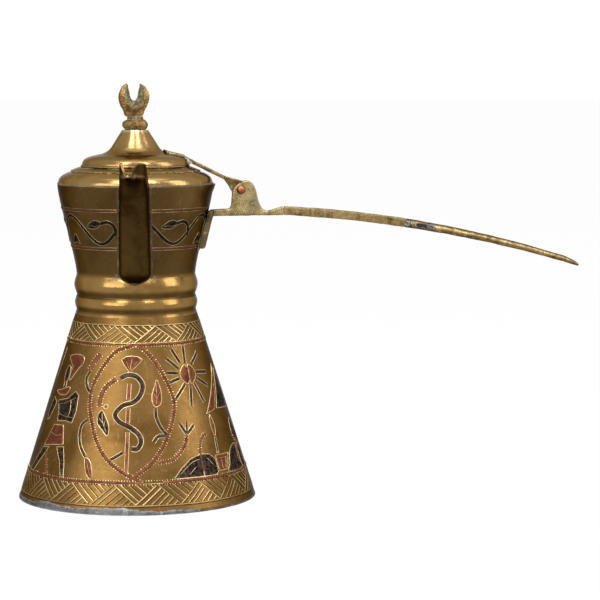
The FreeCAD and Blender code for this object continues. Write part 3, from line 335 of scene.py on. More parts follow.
@dataclass(frozen=True)
class MetalFinish:
    """One metal's finish: clean metal under tarnish, pits, scratches and crust."""

    name: str
    metal: Triple
    tarnish: Triple
    bright: Triple
    slot: Slot = Slot.SHEET_BRASS
    cover: float = 0.5
    cloud_scale: float = 45.0
    roughness: float = 0.3
    tarnish_roughness: float = 0.5
    pit_scale: float = 700.0
    pit_share: float = 0.25
    pit_depth: float = 0.06
    scratch_share: float = 0.4
    scratch_scale: float = 420.0
    scratch_depth: float = 0.012
    grain_depth: float = 0.02
    crust_depth: float = 0.05
    verdigris: float = 1.0
    metallic: float = 1.0
    # the dark colour that the per-point darkening mixes in: patina, and on some pieces painted shade
    patina_and_shade: Triple = (0.065, 0.036, 0.0105)
    speckle: float = 0.35
    hair_bright: float = 0.2
    patina_and_shade_breaks: float = 0.0
    patina_and_shade_rough: float = 0.0
    edge_tint: Triple = (0.42, 0.41, 0.39)
    file_marks: float = 0.0
    file_scale: float = 340.0

    def material(self, effects: SurfaceEffects) -> bpy.types.Material:
        """Builds the finish's material.

        Args:
            effects: the shared node groups.

        Returns:
            The material.
        """
        material = bpy.data.materials.new(self.name)
        material.use_nodes = True
        net = Net(material.node_tree)
        hollow, edge, patina_and_shade = (net.node("ShaderNodeAttribute", attribute_name=name)["Fac"]
                                for name in ("hollow", "edge", "patina_and_shade"))
        clouds = net.group(effects.tarnish, Scale=self.cloud_scale, Cover=self.cover)
        pits = net.group(effects.pitting, Scale=self.pit_scale, Share=self.pit_share)["Mask"]
        hairs = net.group(effects.scratches, Scale=self.scratch_scale, Share=self.scratch_share)["Mask"]
        crusting = net.group(effects.crust, Hollow=hollow, Amount=self.verdigris)
        cloud, speckle, crust = clouds["Cloud"], clouds["Speckle"], crusting["Crust"]
        aged = net.maths("MINIMUM", net.plus(cloud, net.times(speckle, self.speckle)), 1.0)
        # per-point darkening: real patina, and on some pieces painted shade, with painted highlights where it
        # is kept low
        mottled = net.times(patina_and_shade, net.ranged(speckle, 0.0, 1.0, 1.0, 1.0 - 0.4 * self.speckle))
        broken = net.times(mottled, net.ranged(cloud, 0.0, 1.0, 1.0 - self.patina_and_shade_breaks, 1.0))
        coats = [(broken, self.patina_and_shade), (net.times(hairs, self.hair_bright), self.bright)]
        if self.file_marks:
            strokes = net.group(effects.file_marks, Scale=self.file_scale)["Mask"]
            bare = net.times(net.minus(1.0, patina_and_shade), self.file_marks)
            coats.append((net.times(strokes, bare), self.bright))
        coats.append((net.times(edge, 0.75), self.bright))
        coats.append((net.times(pits, 0.6), self.tarnish))
        coats.append((crust, crusting["Colour"]))
        colour = net.mixed(aged, self.metal, self.tarnish)
        for share, coat in coats:
            colour = net.mixed(share, colour, coat)
        metallic = net.minus(self.metallic, net.times(crust, 0.85))
        rough = net.ranged(aged, 0.0, 1.0, self.roughness, self.tarnish_roughness)
        rough = net.plus(net.plus(rough, net.times(crust, 0.35)), net.times(patina_and_shade, self.patina_and_shade_rough))
        height = net.times(pits, -self.pit_depth)
        marks = ((hairs, -self.scratch_depth), (speckle, self.grain_depth), (crust, self.crust_depth))
        for mark, depth in marks:
            height = net.plus(height, net.times(mark, depth))
        look = {"Base Color": colour, "Metallic": net.maths("MAXIMUM", metallic, 0.0),
                "Roughness": net.maths("MINIMUM", rough, 1.0), "Specular Tint": (*self.edge_tint, 1.0),
                "Normal": net.add("ShaderNodeBump", {"Height": height, "Distance": MM, "Strength": 0.8})}
        for name, value in look.items():
            net.fill(net.tree.nodes["Principled BSDF"].inputs[name], value)
        return material


GREY_EDGE = (0.42, 0.42, 0.42)


class Metal(Enum):
    """The pot's finishes."""

    SKIRT = MetalFinish(
        "skirt_brass", (0.185, 0.102, 0.031), (0.105, 0.053, 0.0145), (0.58, 0.42, 0.19), roughness=0.33,
        tarnish_roughness=0.44, pit_share=0.16, pit_depth=0.03, speckle=0.25, hair_bright=0.07,
        patina_and_shade=(0.062, 0.030, 0.0085), edge_tint=(0.38, 0.39, 0.40))
    NECK = MetalFinish(
        "neck_brass", (0.30, 0.178, 0.058), (0.17, 0.094, 0.026), (0.34, 0.22, 0.09), roughness=0.13,
        tarnish_roughness=0.22, pit_share=0.08, pit_depth=0.015, speckle=0.12, scratch_share=0.15,
        patina_and_shade=(0.062, 0.034, 0.0105), patina_and_shade_breaks=0.09, patina_and_shade_rough=0.16, edge_tint=(0.37, 0.39, 0.41))
    LID = MetalFinish(
        "lid_brass", (0.31, 0.198, 0.076), (0.18, 0.103, 0.034), (0.62, 0.46, 0.24), roughness=0.14,
        tarnish_roughness=0.25, pit_share=0.1, pit_depth=0.015, speckle=0.15, scratch_share=0.2,
        patina_and_shade=(0.100, 0.054, 0.0175), patina_and_shade_breaks=0.2, patina_and_shade_rough=0.15, edge_tint=(0.50, 0.46, 0.41))
    # very dark brass: the beak's own tarnish and painted shade of the dark room it faces
    SPOUT = MetalFinish(
        "spout_brass", (0.072, 0.043, 0.0125), (0.038, 0.020, 0.0048), (0.36, 0.25, 0.12), cloud_scale=90.0,
        tarnish_roughness=0.4, pit_depth=0.02, speckle=0.2, scratch_share=0.1,
        patina_and_shade=(0.020, 0.0085, 0.0022), patina_and_shade_breaks=0.35)
    CAST = MetalFinish(
        "rough_cast_brass", (0.36, 0.275, 0.125), (0.17, 0.115, 0.045), (0.66, 0.55, 0.31), Slot.CAST_BRASS,
        cloud_scale=240.0, roughness=0.42, tarnish_roughness=0.58, pit_scale=1300.0, pit_share=0.4,
        pit_depth=0.05, grain_depth=0.03, verdigris=1.1, file_marks=0.5, patina_and_shade=(0.030, 0.0175, 0.006),
        patina_and_shade_breaks=0.3)
    DRAWN = MetalFinish(
        "drawn_brass", (0.40, 0.285, 0.125), (0.16, 0.098, 0.036), (0.70, 0.57, 0.34), Slot.CAST_BRASS,
        cloud_scale=300.0, tarnish_roughness=0.46, pit_scale=1100.0, pit_share=0.45, pit_depth=0.05,
        grain_depth=0.03, scratch_share=0.6, patina_and_shade=(0.042, 0.0235, 0.0075), patina_and_shade_breaks=0.4)
    FINIAL = MetalFinish(
        "finial_brass", (0.33, 0.205, 0.075), (0.11, 0.061, 0.022), (0.60, 0.43, 0.22), Slot.CAST_BRASS,
        cover=0.55, cloud_scale=210.0, roughness=0.4, tarnish_roughness=0.58, pit_scale=1300.0,
        pit_share=0.45, pit_depth=0.08, grain_depth=0.06, verdigris=1.3)
    SOLDER = MetalFinish(
        "grey_solder", (0.145, 0.148, 0.15), (0.045, 0.045, 0.047), (0.60, 0.60, 0.61), Slot.TIN_SOLDER,
        cloud_scale=230.0, roughness=0.34, tarnish_roughness=0.55, pit_share=0.4, pit_depth=0.1,
        grain_depth=0.09, verdigris=0.2, patina_and_shade=(0.026, 0.029, 0.024), edge_tint=(0.5, 0.5, 0.5), speckle=0.6)
    PALE_SOLDER = MetalFinish(
        "pale_solder", (0.40, 0.36, 0.27), (0.17, 0.145, 0.095), (0.62, 0.58, 0.48), Slot.TIN_SOLDER,
        cloud_scale=260.0, roughness=0.45, tarnish_roughness=0.6, pit_share=0.4, pit_depth=0.1,
        grain_depth=0.08, verdigris=0.3, metallic=0.3)
    DULL_SOLDER = replace(
        PALE_SOLDER, name="dull_solder", metal=(0.170, 0.135, 0.070), tarnish=(0.078, 0.058, 0.027),
        bright=(0.38, 0.31, 0.19), cover=0.55, roughness=0.42, metallic=0.45, patina_and_shade=(0.070, 0.044, 0.018),
        edge_tint=GREY_EDGE)
    COPPER = MetalFinish(
        "inlaid_copper", (0.175, 0.057, 0.029), (0.080, 0.026, 0.0135), (0.34, 0.14, 0.08), Slot.COPPER_INLAY,
        cloud_scale=300.0, roughness=0.42, tarnish_roughness=0.58, pit_scale=1500.0, pit_share=0.35,
        scratch_scale=900.0, grain_depth=0.06, verdigris=0.2, patina_and_shade=(0.075, 0.030, 0.015),
        edge_tint=(0.40, 0.41, 0.42))
    DARK = MetalFinish(
        "blackened_inlay", (0.024, 0.0165, 0.0145), (0.0085, 0.0058, 0.0052), (0.21, 0.15, 0.11),
        Slot.DARK_INLAY, cover=0.55, cloud_scale=300.0, roughness=0.46, tarnish_roughness=0.62,
        pit_scale=1500.0, pit_share=0.45, pit_depth=0.08, scratch_share=0.85, scratch_scale=1100.0,
        grain_depth=0.08, verdigris=0.2, hair_bright=0.22, edge_tint=GREY_EDGE)
    BLACK = replace(
        DARK, name="black_vine_inlay", metal=(0.015, 0.0112, 0.0100), tarnish=(0.0075, 0.0055, 0.0052),
        bright=(0.10, 0.078, 0.058), scratch_share=0.6, verdigris=0.1, hair_bright=0.2)
    # dark lines beside wires and chased lines: tarnish in a cut, and painted shade of a groove laid on a
    # raised strip
    GROOVE = MetalFinish(
        "groove_shade_and_tarnish", (0.075, 0.041, 0.013), (0.036, 0.019, 0.006), (0.25, 0.16, 0.06), cloud_scale=200.0,
        roughness=0.4, tarnish_roughness=0.55, pit_depth=0.02, verdigris=0.0)
    CHASED = replace(
        GROOVE, name="chased_brass", metal=(0.60, 0.45, 0.22), tarnish=(0.36, 0.24, 0.095),
        bright=(0.84, 0.70, 0.44), cover=0.4, roughness=0.26, tarnish_roughness=0.4,
        patina_and_shade=(0.21, 0.125, 0.043))
    DIM_CHASED = replace(
        GROOVE, name="dim_chased_brass", metal=(0.34, 0.25, 0.13), tarnish=(0.17, 0.115, 0.05),
        bright=(0.55, 0.44, 0.27), roughness=0.34, tarnish_roughness=0.48)
    RIVET = MetalFinish(
        "rivet_copper", (0.36, 0.128, 0.066), (0.19, 0.066, 0.034), (0.60, 0.31, 0.20), Slot.COPPER_RIVET,
        cover=0.45, cloud_scale=260.0, roughness=0.4, tarnish_roughness=0.55, pit_scale=1400.0, verdigris=0.6,
        edge_tint=GREY_EDGE)


def bezier(poles: Path, count: int) -> list[Point]:
    """Points along a Bezier curve.

    Args:
        poles: its poles.
        count: how many steps.

    Returns:
        The points, ends included.
    """
    points = []
    for step in range(count + 1):
        level = [Vector(p) for p in poles]
        while len(level) > 1:
            level = [a.lerp(b, step / count) for a, b in zip(level, level[1:])]
        points.append(tuple(level[0]))
    return points


def smooth_path(points: Path, closed: bool = False, steps: int = 6) -> list[Point]:
    """A smooth line through points.

    Args:
        points: the points to pass through.
        closed: whether it comes back to its start.
        steps: steps between two points.

    Returns:
        The line's points, with the first repeated at the end if it is closed.
    """
    given = [Vector(p) for p in points]
    count = len(given)
    line = []
    for i in range(count if closed else count - 1):
        around = [(i + k) % count if closed else min(max(i + k, 0), count - 1) for k in (-1, 0, 1, 2)]
        a, b, c, d = (given[k] for k in around)
        for step in range(steps):
            t = step / steps
            line.append(0.5 * (2 * b + (c - a) * t + (2 * a - 5 * b + 4 * c - d) * t**2
                               + (3 * b - a - 3 * c + d) * t**3))
    line.append(line[0].copy() if closed else given[-1])
    return [tuple(p) for p in line]


def straight_path(points: Path, closed: bool = False, steps: int = 8) -> list[Point]:
    """A line with straight runs between points.

    Args:
        points: the corners.
        closed: whether it comes back to its start.
        steps: steps in each run.

    Returns:
        The line's points, with the first repeated at the end if it is closed.
    """
    corners = [Vector(p) for p in points] + ([Vector(points[0])] if closed else [])
    line = [tuple(a.lerp(b, step / steps)) for a, b in zip(corners, corners[1:]) for step in range(steps)]
    return line + [tuple(corners[-1])]


def ragged(angle: float, seed: float, *layers: Point) -> float:
    """Unevenness at an angle in radians round the pot, from layers of a height and a fineness each."""
    turn = Vector((math.sin(angle), math.cos(angle), seed))
    return sum(height * noise.noise(turn * fineness) for height, fineness in layers)


class PathTrees:
    """Geometry node trees for what is laid along lines on a wall, or drilled through it."""

    def __init__(self) -> None:
        """Builds each tree once."""
        self.wire = self._wire()
        self.edging = self._edging()
        self.ticks = self._ticks()
        self.strainer = self._strainer()

    @staticmethod
    def _start(name: str, *sizes: str) -> Group:
        """An empty tree with its sizes as inputs."""
        inputs = {"Geometry": "Geometry", **{size: "Float" for size in sizes}, "Finish": "Material"}
        return Group(name, "Geometry", inputs, {"Geometry": "Geometry"})

    @staticmethod
    def _end(net: Group, shape: NodeSocket) -> NodeTree:
        """Closes a tree: instances made real, then the finish.

        Args:
            net: the tree.
            shape: the finished shape.

        Returns:
            The closed tree.
        """
        real = net.add("GeometryNodeRealizeInstances", {0: shape})
        dressed = net.add("GeometryNodeSetMaterial", {"Geometry": real, "Material": net.given["Finish"]})
        net.fill(net.out[0], dressed)
        return net.tree

    @staticmethod
    def _joined(net: Group, shapes: Sequence[NodeSocket]) -> NodeSocket:
        """Several shapes as one.

        Args:
            net: the tree.
            shapes: the shapes.

        Returns:
            The whole.
        """
        both = net.tree.nodes.new("GeometryNodeJoinGeometry")
        for shape in shapes:
            net.fill(both.inputs[0], shape)
        return both.outputs[0]

    @staticmethod
    def _carried(net: Group, name: str) -> NodeSocket:
        """A named vector that the line's points carry."""
        return net.add("GeometryNodeInputNamedAttribute", {"Name": name}, data_type="FLOAT_VECTOR")

    @staticmethod
    def _line(net: Group) -> NodeSocket:
        """The line that a tree is given."""
        return net.add("GeometryNodeMeshToCurve", {"Mesh": net.given["Geometry"]})

    def _beside(self, net: Group) -> NodeSocket:
        """Two lines beside the tree's line, one on each side of it at the tree's Offset.

        Args:
            net: the tree.

        Returns:
            The two lines.
        """
        curve = self._line(net)
        along = net.add("GeometryNodeInputTangent")
        across = net.vector("CROSS_PRODUCT", {0: along, 1: self._carried(net, "outward")})
        side = net.vector("NORMALIZE", {0: across})
        lengths = [net.times(net.given["Offset"], sign) for sign in (1.0, -1.0)]
        moves = [net.vector("SCALE", {0: side, "Scale": length}) for length in lengths]
        return self._joined(net, [net.add("GeometryNodeSetPosition", {"Geometry": curve, "Offset": move})
                                  for move in moves])

    def _tube(self, net: Group, curve: NodeSocket) -> NodeTree:
        """Closes a tree with a round tube along a line, flattened towards the wall.

        Args:
            net: the tree, which has a Width and a Height.
            curve: the line.

        Returns:
            The closed tree.
        """
        place = net.add("GeometryNodeInputPosition")
        inputs = {"Geometry": curve, "Name": "centre", "Value": place}
        kept = net.add("GeometryNodeStoreNamedAttribute", inputs, data_type="FLOAT_VECTOR", domain="POINT")
        half = net.times(net.given["Width"], 0.5)
        ring = net.add("GeometryNodeCurvePrimitiveCircle", {"Resolution": 8, "Radius": half})
        tube = net.add("GeometryNodeCurveToMesh", {"Curve": kept, "Profile Curve": ring, "Fill Caps": True})
        outward = self._carried(net, "outward")
        away = net.vector("SUBTRACT", {0: place, 1: self._carried(net, "centre")})
        lift = net.node("ShaderNodeVectorMath", {0: away, 1: outward}, operation="DOT_PRODUCT")["Value"]
        squash = net.minus(net.maths("DIVIDE", net.given["Height"], half), 1.0)
        move = net.vector("SCALE", {0: outward, "Scale": net.times(lift, squash)})
        return self._end(net, net.add("GeometryNodeSetPosition", {"Geometry": tube, "Offset": move}))

    def _wire(self) -> NodeTree:
        """A wire hammered flat into the wall."""
        net = self._start("laid_wire", "Width", "Height")
        return self._tube(net, self._line(net))

    def _edging(self) -> NodeTree:
        """Two raised burrs beside a wire."""
        net = self._start("chased_edging", "Offset", "Width", "Height")
        return self._tube(net, self._beside(net))

    def _ticks(self) -> NodeTree:
        """Rows of punched ticks beside a wire, of uneven size.

        Returns:
            The closed tree.
        """
        net = self._start("punched_ticks", "Offset", "Pitch", "Size")
        inputs = {"Curve": self._beside(net), "Length": net.given["Pitch"]}
        row = net.node("GeometryNodeCurveToPoints", inputs, mode="LENGTH")
        turn = net.add("FunctionNodeAxesToRotation", {"Primary Axis": self._carried(net, "outward"),
                                                      "Secondary Axis": row["Tangent"]})
        swell = net.tree.nodes.new("FunctionNodeRandomValue")
        swell.data_type = "FLOAT"
        limits = {"Min": 0.45, "Max": 1.15, "Seed": 7}
        for socket in swell.inputs:
            if socket.enabled and socket.name in limits:
                socket.default_value = limits[socket.name]
        bump = net.add("GeometryNodeMeshIcoSphere", {"Radius": net.given["Size"], "Subdivisions": 1})
        flat = net.add("GeometryNodeTransform", {"Geometry": bump, "Scale": (0.55, 1.0, 0.38)})
        placed = net.add("GeometryNodeInstanceOnPoints", {
            "Points": row["Points"], "Instance": flat, "Rotation": turn,
            "Scale": next(socket for socket in swell.outputs if socket.enabled)})
        return self._end(net, placed)

    def _strainer(self) -> NodeTree:
        """Rows of round holes, two and one by turns, drilled through the wall.

        Returns:
            The closed tree.
        """
        net = self._start("strainer_holes", "Radius", "Spread", "Pitch", "Foot", "Reach")
        reach = net.given["Reach"]
        double = net.times(net.given["Pitch"], 2.0)
        wide = net.times(net.given["Spread"], 2.0)
        inputs = {"Size X": wide, "Vertices X": 2, "Size Y": net.times(double, 2.0), "Vertices Y": 3}
        pairs = net.add("GeometryNodeMeshGrid", inputs)
        first = net.axes(Y=net.times(net.given["Pitch"], -1.0))
        inputs = {"Count": 2, "Start Location": first, "Offset": net.axes(Y=double)}
        singles = net.add("GeometryNodeMeshLine", inputs, mode="OFFSET")
        upright = (math.pi / 2, 0.0, 0.0)
        laid = net.add("GeometryNodeTransform", {
            "Geometry": self._joined(net, (pairs, singles)), "Rotation": upright,
            "Translation": net.axes(Y=net.times(reach, -1.0), Z=net.plus(net.given["Foot"], double))})
        inputs = {"Vertices": 20, "Radius": net.given["Radius"], "Depth": reach}
        drill = net.add("GeometryNodeMeshCylinder", inputs)
        inputs = {"Points": laid, "Instance": drill, "Rotation": upright}
        real = net.add("GeometryNodeRealizeInstances", {0: net.add("GeometryNodeInstanceOnPoints", inputs)})
        inputs = {"Mesh 1": net.given["Geometry"], "Mesh 2": real}
        return self._end(net, net.add("GeometryNodeMeshBoolean", inputs, operation="DIFFERENCE"))


class Workshop:
    """Makes meshes into pieces that ride on the frame."""

    def __init__(self) -> None:
        """Makes the finishes and the path trees, and notes the box that the solids fill."""
        effects = SurfaceEffects()
        self.materials = {metal: metal.value.material(effects) for metal in Metal}
        self.trees = PathTrees()
        self.room = [np.array(corner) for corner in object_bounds()]

    @staticmethod
    def new_object(name: str, data: bpy.types.ID) -> bpy.types.Object:
        """Links a mesh, a lamp or a camera into the scene.

        Args:
            name: the object's name.
            data: what it shows.

        Returns:
            The object.
        """
        item = bpy.data.objects.new(name, data)
        bpy.context.scene.collection.objects.link(item)
        return item

    @staticmethod
    def edited(mesh: Mesh, edit: Callable[[bmesh.types.BMesh], object]) -> Mesh:
        """A mesh after an edit of its corners and faces.

        Args:
            mesh: the mesh.
            edit: what is done to it.

        Returns:
            The same mesh.
        """
        shape = bmesh.new()
        shape.from_mesh(mesh)
        edit(shape)
        shape.to_mesh(mesh)
        shape.free()
        return mesh

    @classmethod
    def mesh_of(cls, points: Sequence[Vector], faces: Sequence[Sequence[int]]) -> Mesh:
        """A mesh with its faces turned outwards.

        Args:
            points: its corners, in metres.
            faces: corner numbers of each face.

        Returns:
            The mesh.
        """
        mesh = bpy.data.meshes.new("shape")
        mesh.from_pydata([tuple(p) for p in points], [], [tuple(f) for f in faces])
        return cls.edited(mesh, lambda shape: bmesh.ops.recalc_face_normals(shape, faces=shape.faces))

    @staticmethod
    def joined(meshes: Sequence[Mesh]) -> Mesh:
        """Several meshes as one.

        Args:
            meshes: the meshes, which are removed.

        Returns:
            The new mesh.
        """
        shape = bmesh.new()
        for mesh in meshes:
            shape.from_mesh(mesh)
            bpy.data.meshes.remove(mesh)
        for face in shape.faces:
            face.material_index = 0
        whole = bpy.data.meshes.new("whole")
        shape.to_mesh(whole)
        shape.free()
        return whole

    def lathe(self, outline: Path, segments: int = 224, shift: Shift | None = None) -> Mesh:
        """Turns a closed outline about the pot's axis.

        Args:
            outline: radius and height of each point.
            segments: steps round the axis.
            shift: moves a point of the outline at an angle.

        Returns:
            The mesh.
        """
        count = len(outline)
        points = []
        faces = []
        for i in range(segments):
            angle = 2 * math.pi * i / segments
            for radius, height in outline:
                if shift:
                    radius, height = shift(angle, radius, height)
                points.append(Vector((radius * math.sin(angle), -radius * math.cos(angle), height)) * MM)
            ahead = (i + 1) % segments
            for j in range(count):
                k = (j + 1) % count
                faces.append((i * count + j, ahead * count + j, ahead * count + k, i * count + k))
        return self.mesh_of(points, faces)

    @classmethod
    def merged_copy(cls, node: str) -> Mesh:
        """A copy of a solid's mesh with its corners merged.

        Args:
            node: the solid's node.

        Returns:
            The mesh.
        """
        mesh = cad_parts[node].data.copy()
        mesh.materials.clear()
        near = 0.0005 * MM
        return cls.edited(mesh, lambda shape: bmesh.ops.remove_doubles(shape, verts=shape.verts, dist=near))

    def recast(self, mesh: Mesh, voxel: float, rounds: int, grain: Grain) -> Mesh:
        """Closed shells as one skin with worn edges and lumps.

        Args:
            mesh: the shells.
            voxel: the new mesh's spacing.
            rounds: how often it is smoothed.
            grain: height and spacing of each layer of lumps.

        Returns:
            The mesh.
        """
        item = self.new_object("rough", mesh)
        remesh = item.modifiers.new("voxels", "REMESH")
        remesh.mode = "VOXEL"
        remesh.voxel_size = voxel * MM
        soften = item.modifiers.new("soften", "SMOOTH")
        soften.iterations = rounds
        soften.factor = 0.5
        return self.roughened(self.settled(item), grain)

    def cast_copy(self, node: str, voxel: float, rounds: int, *grain: Point) -> Mesh:
        """A copy of a solid, recast in the same way."""
        return self.recast(self.merged_copy(node), voxel, rounds, grain)

    @staticmethod
    def settled(item: bpy.types.Object) -> Mesh:
        """The plain mesh that an object's modifiers give; the object is removed.

        Args:
            item: the object.

        Returns:
            The mesh.
        """
        bpy.context.view_layer.update()
        mesh = bpy.data.meshes.new_from_object(item.evaluated_get(bpy.context.evaluated_depsgraph_get()))
        old = item.data
        bpy.data.objects.remove(item)
        if old.users == 0:
            bpy.data.meshes.remove(old)
        return mesh

    def run(self, tree: NodeTree, mesh: Mesh, metal: Metal, **sizes: float) -> Mesh:
        """Runs a path tree on a mesh.

        Args:
            tree: the tree.
            mesh: the mesh, which is used up.
            metal: the finish.
            sizes: the tree's inputs in millimetres.

        Returns:
            The plain mesh that comes out.
        """
        item = self.new_object("lines", mesh)
        modifier = item.modifiers.new("tree", "NODES")
        modifier.node_group = tree
        values = {name: size * MM for name, size in sizes.items()}
        values["Finish"] = self.materials[metal]
        for socket in tree.interface.items_tree:
            if socket.in_out == "INPUT" and socket.name in values:
                modifier[socket.identifier] = values[socket.name]
        return self.settled(item)

    @staticmethod
    def roughened(mesh: Mesh, grain: Grain) -> Mesh:
        """Moves a mesh in and out by lumps, the same on every run.

        Args:
            mesh: the mesh.
            grain: height and spacing of each layer of lumps.

        Returns:
            The same mesh.
        """
        normals = [v.normal.copy() for v in mesh.vertices]
        for vertex, normal in zip(mesh.vertices, normals):
            lumps = [height * MM * noise.noise(vertex.co / (spacing * MM)) for height, spacing in grain]
            vertex.co += normal * sum(lumps)
        mesh.update()
        return mesh

    @staticmethod
    def moved(mesh: Mesh, move: Callable[[Vector], Vector]) -> Mesh:
        """Moves each point of a mesh.

        Args:
            mesh: the mesh.
            move: gives a point's new place from its place, in millimetres.

        Returns:
            The same mesh.
        """
        for vertex in mesh.vertices:
            vertex.co = move(vertex.co / MM) * MM
        mesh.update()
        return mesh

    def piece(self, name: str, mesh: Mesh, metal: Metal, stands_for: str = "", body: Body = Body.POT,
              crust_at: Sequence[Spot] = (), wear: float = 1.0, sharp: float = 38.0,
              patina_and_shade: PatinaAndShade | None = None) -> None:
        """Finishes a mesh and sets it on the frame.

        Args:
            name: the piece's name.
            mesh: its mesh.
            metal: its finish.
            stands_for: the node it stands for, if any.
            body: the body it rides on.
            crust_at: points, reaches and strengths of extra crust.
            wear: how strongly its edges are worn bright.
            sharp: the angle past which an edge stays sharp.
            patina_and_shade: how dark the metal is at each place, from patina, and on some pieces from
                painted shade and painted highlights.
        """
        mesh.name = name
        mesh.materials.clear()
        mesh.materials.append(self.materials[metal])
        mesh.vertices.foreach_set("co", np.clip(self._rows(mesh.vertices, "co"), *self.room).ravel())
        for face in mesh.polygons:
            face.use_smooth = True
        mesh.set_sharp_from_angle(angle=math.radians(sharp))
        self._mark_edges(mesh, crust_at, wear)
        if patina_and_shade:
            self._mark(mesh, "patina_and_shade", [patina_and_shade(*(v.co / MM)) for v in mesh.vertices])
        item = self.new_object(name, mesh)
        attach(item, body.value)
        if stands_for:
            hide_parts(stands_for)
        log.info("%s: %d faces on %s", name, len(mesh.polygons), body.value)

    def redress(self, node: str, metal: Metal) -> None:
        """Gives a node that keeps its shape a better finish.

        Args:
            node: the node.
            metal: its finish.
        """
        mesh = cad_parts[node].data
        mesh.materials.clear()
        mesh.materials.append(self.materials[metal])
        log.info("%s: kept, with %s", node, metal.value.name)

    @staticmethod
    def _rows(items: Collection, name: str, width: int = 3, kind: type = float) -> np.ndarray:
        """A property of every item.

        Args:
            items: the items.
            name: the property.
            width: how many values each item has.
            kind: the type of a value.

        Returns:
            One row for each item.
        """
        values = np.empty(len(items) * width, dtype=kind)
        items.foreach_get(name, values)
        return values.reshape(-1, width)

    @staticmethod
    def _mark(mesh: Mesh, name: str, values: Sequence[float]) -> None:
        """Stores a value at each point, for the finishes to read."""
        mesh.attributes.new(name, "FLOAT", "POINT").data.foreach_set("value", values)

    def _mark_edges(self, mesh: Mesh, crust_at: Sequence[Spot], wear: float) -> None:
        """Stores how worn or hollow each point is.

        Args:
            mesh: the mesh.
            crust_at: points, reaches and strengths of extra crust.
            wear: how strongly edges are worn bright.
        """
        place = self._rows(mesh.vertices, "co")
        ends = self._rows(mesh.edges, "vertices", 2, np.int64)
        both = np.concatenate([ends, ends[:, ::-1]])
        count = len(place)
        degree = np.maximum(np.bincount(both[:, 0], minlength=count), 1)
        span = np.linalg.norm(place[ends[:, 0]] - place[ends[:, 1]], axis=1).mean() + 1e-9

        def spread(values: np.ndarray) -> np.ndarray:
            """Each point's neighbours on average."""
            return np.bincount(both[:, 0], weights=values[both[:, 1]], minlength=count) / degree

        mean = np.stack([spread(place[:, axis]) for axis in range(3)], axis=1)
        bend = ((mean - place) * self._rows(mesh.vertices, "normal")).sum(axis=1) / span
        for _ in range(2):
            bend = 0.5 * bend + 0.5 * spread(bend)
        edge = np.clip((-bend - 0.05) * 5.0 * wear, 0.0, 1.0)
        hollow = np.clip((bend - 0.05) * 5.0, 0.0, 1.0)
        for centre, reach, strength in crust_at:
            far = np.linalg.norm(place - np.array(centre) * MM, axis=1) / (reach * MM)
            hollow = np.maximum(hollow, strength * np.exp(-far**2))
        self._mark(mesh, "edge", edge.astype(np.float32))
        self._mark(mesh, "hollow", hollow.astype(np.float32))


@dataclass(frozen=True)
class Wall:
    """A turned wall that ornament is laid on."""

    radius: Callable[[float], float]

    def outward(self, angle: float, height: float) -> Vector:
        """The wall's outward direction.

        Args:
            angle: degrees from the spout.
            height: the place's height.

        Returns:
            The direction.
        """
        lean = (self.radius(height + 0.2) - self.radius(height - 0.2)) / 0.4
        turn = math.radians(angle)
        return Vector((math.sin(turn), -math.cos(turn), -lean)).normalized()

    def point(self, angle: float, height: float, lift: float = 0.0) -> Vector:
        """A place on the wall, in metres.

        Args:
            angle: degrees from the spout.
            height: its height.
            lift: how far it stands off the wall.

        Returns:
            The place.
        """
        turn = math.radians(angle)
        radius = self.radius(height)
        foot = Vector((radius * math.sin(turn), -radius * math.cos(turn), height))
        return (foot + self.outward(angle, height) * lift) * MM


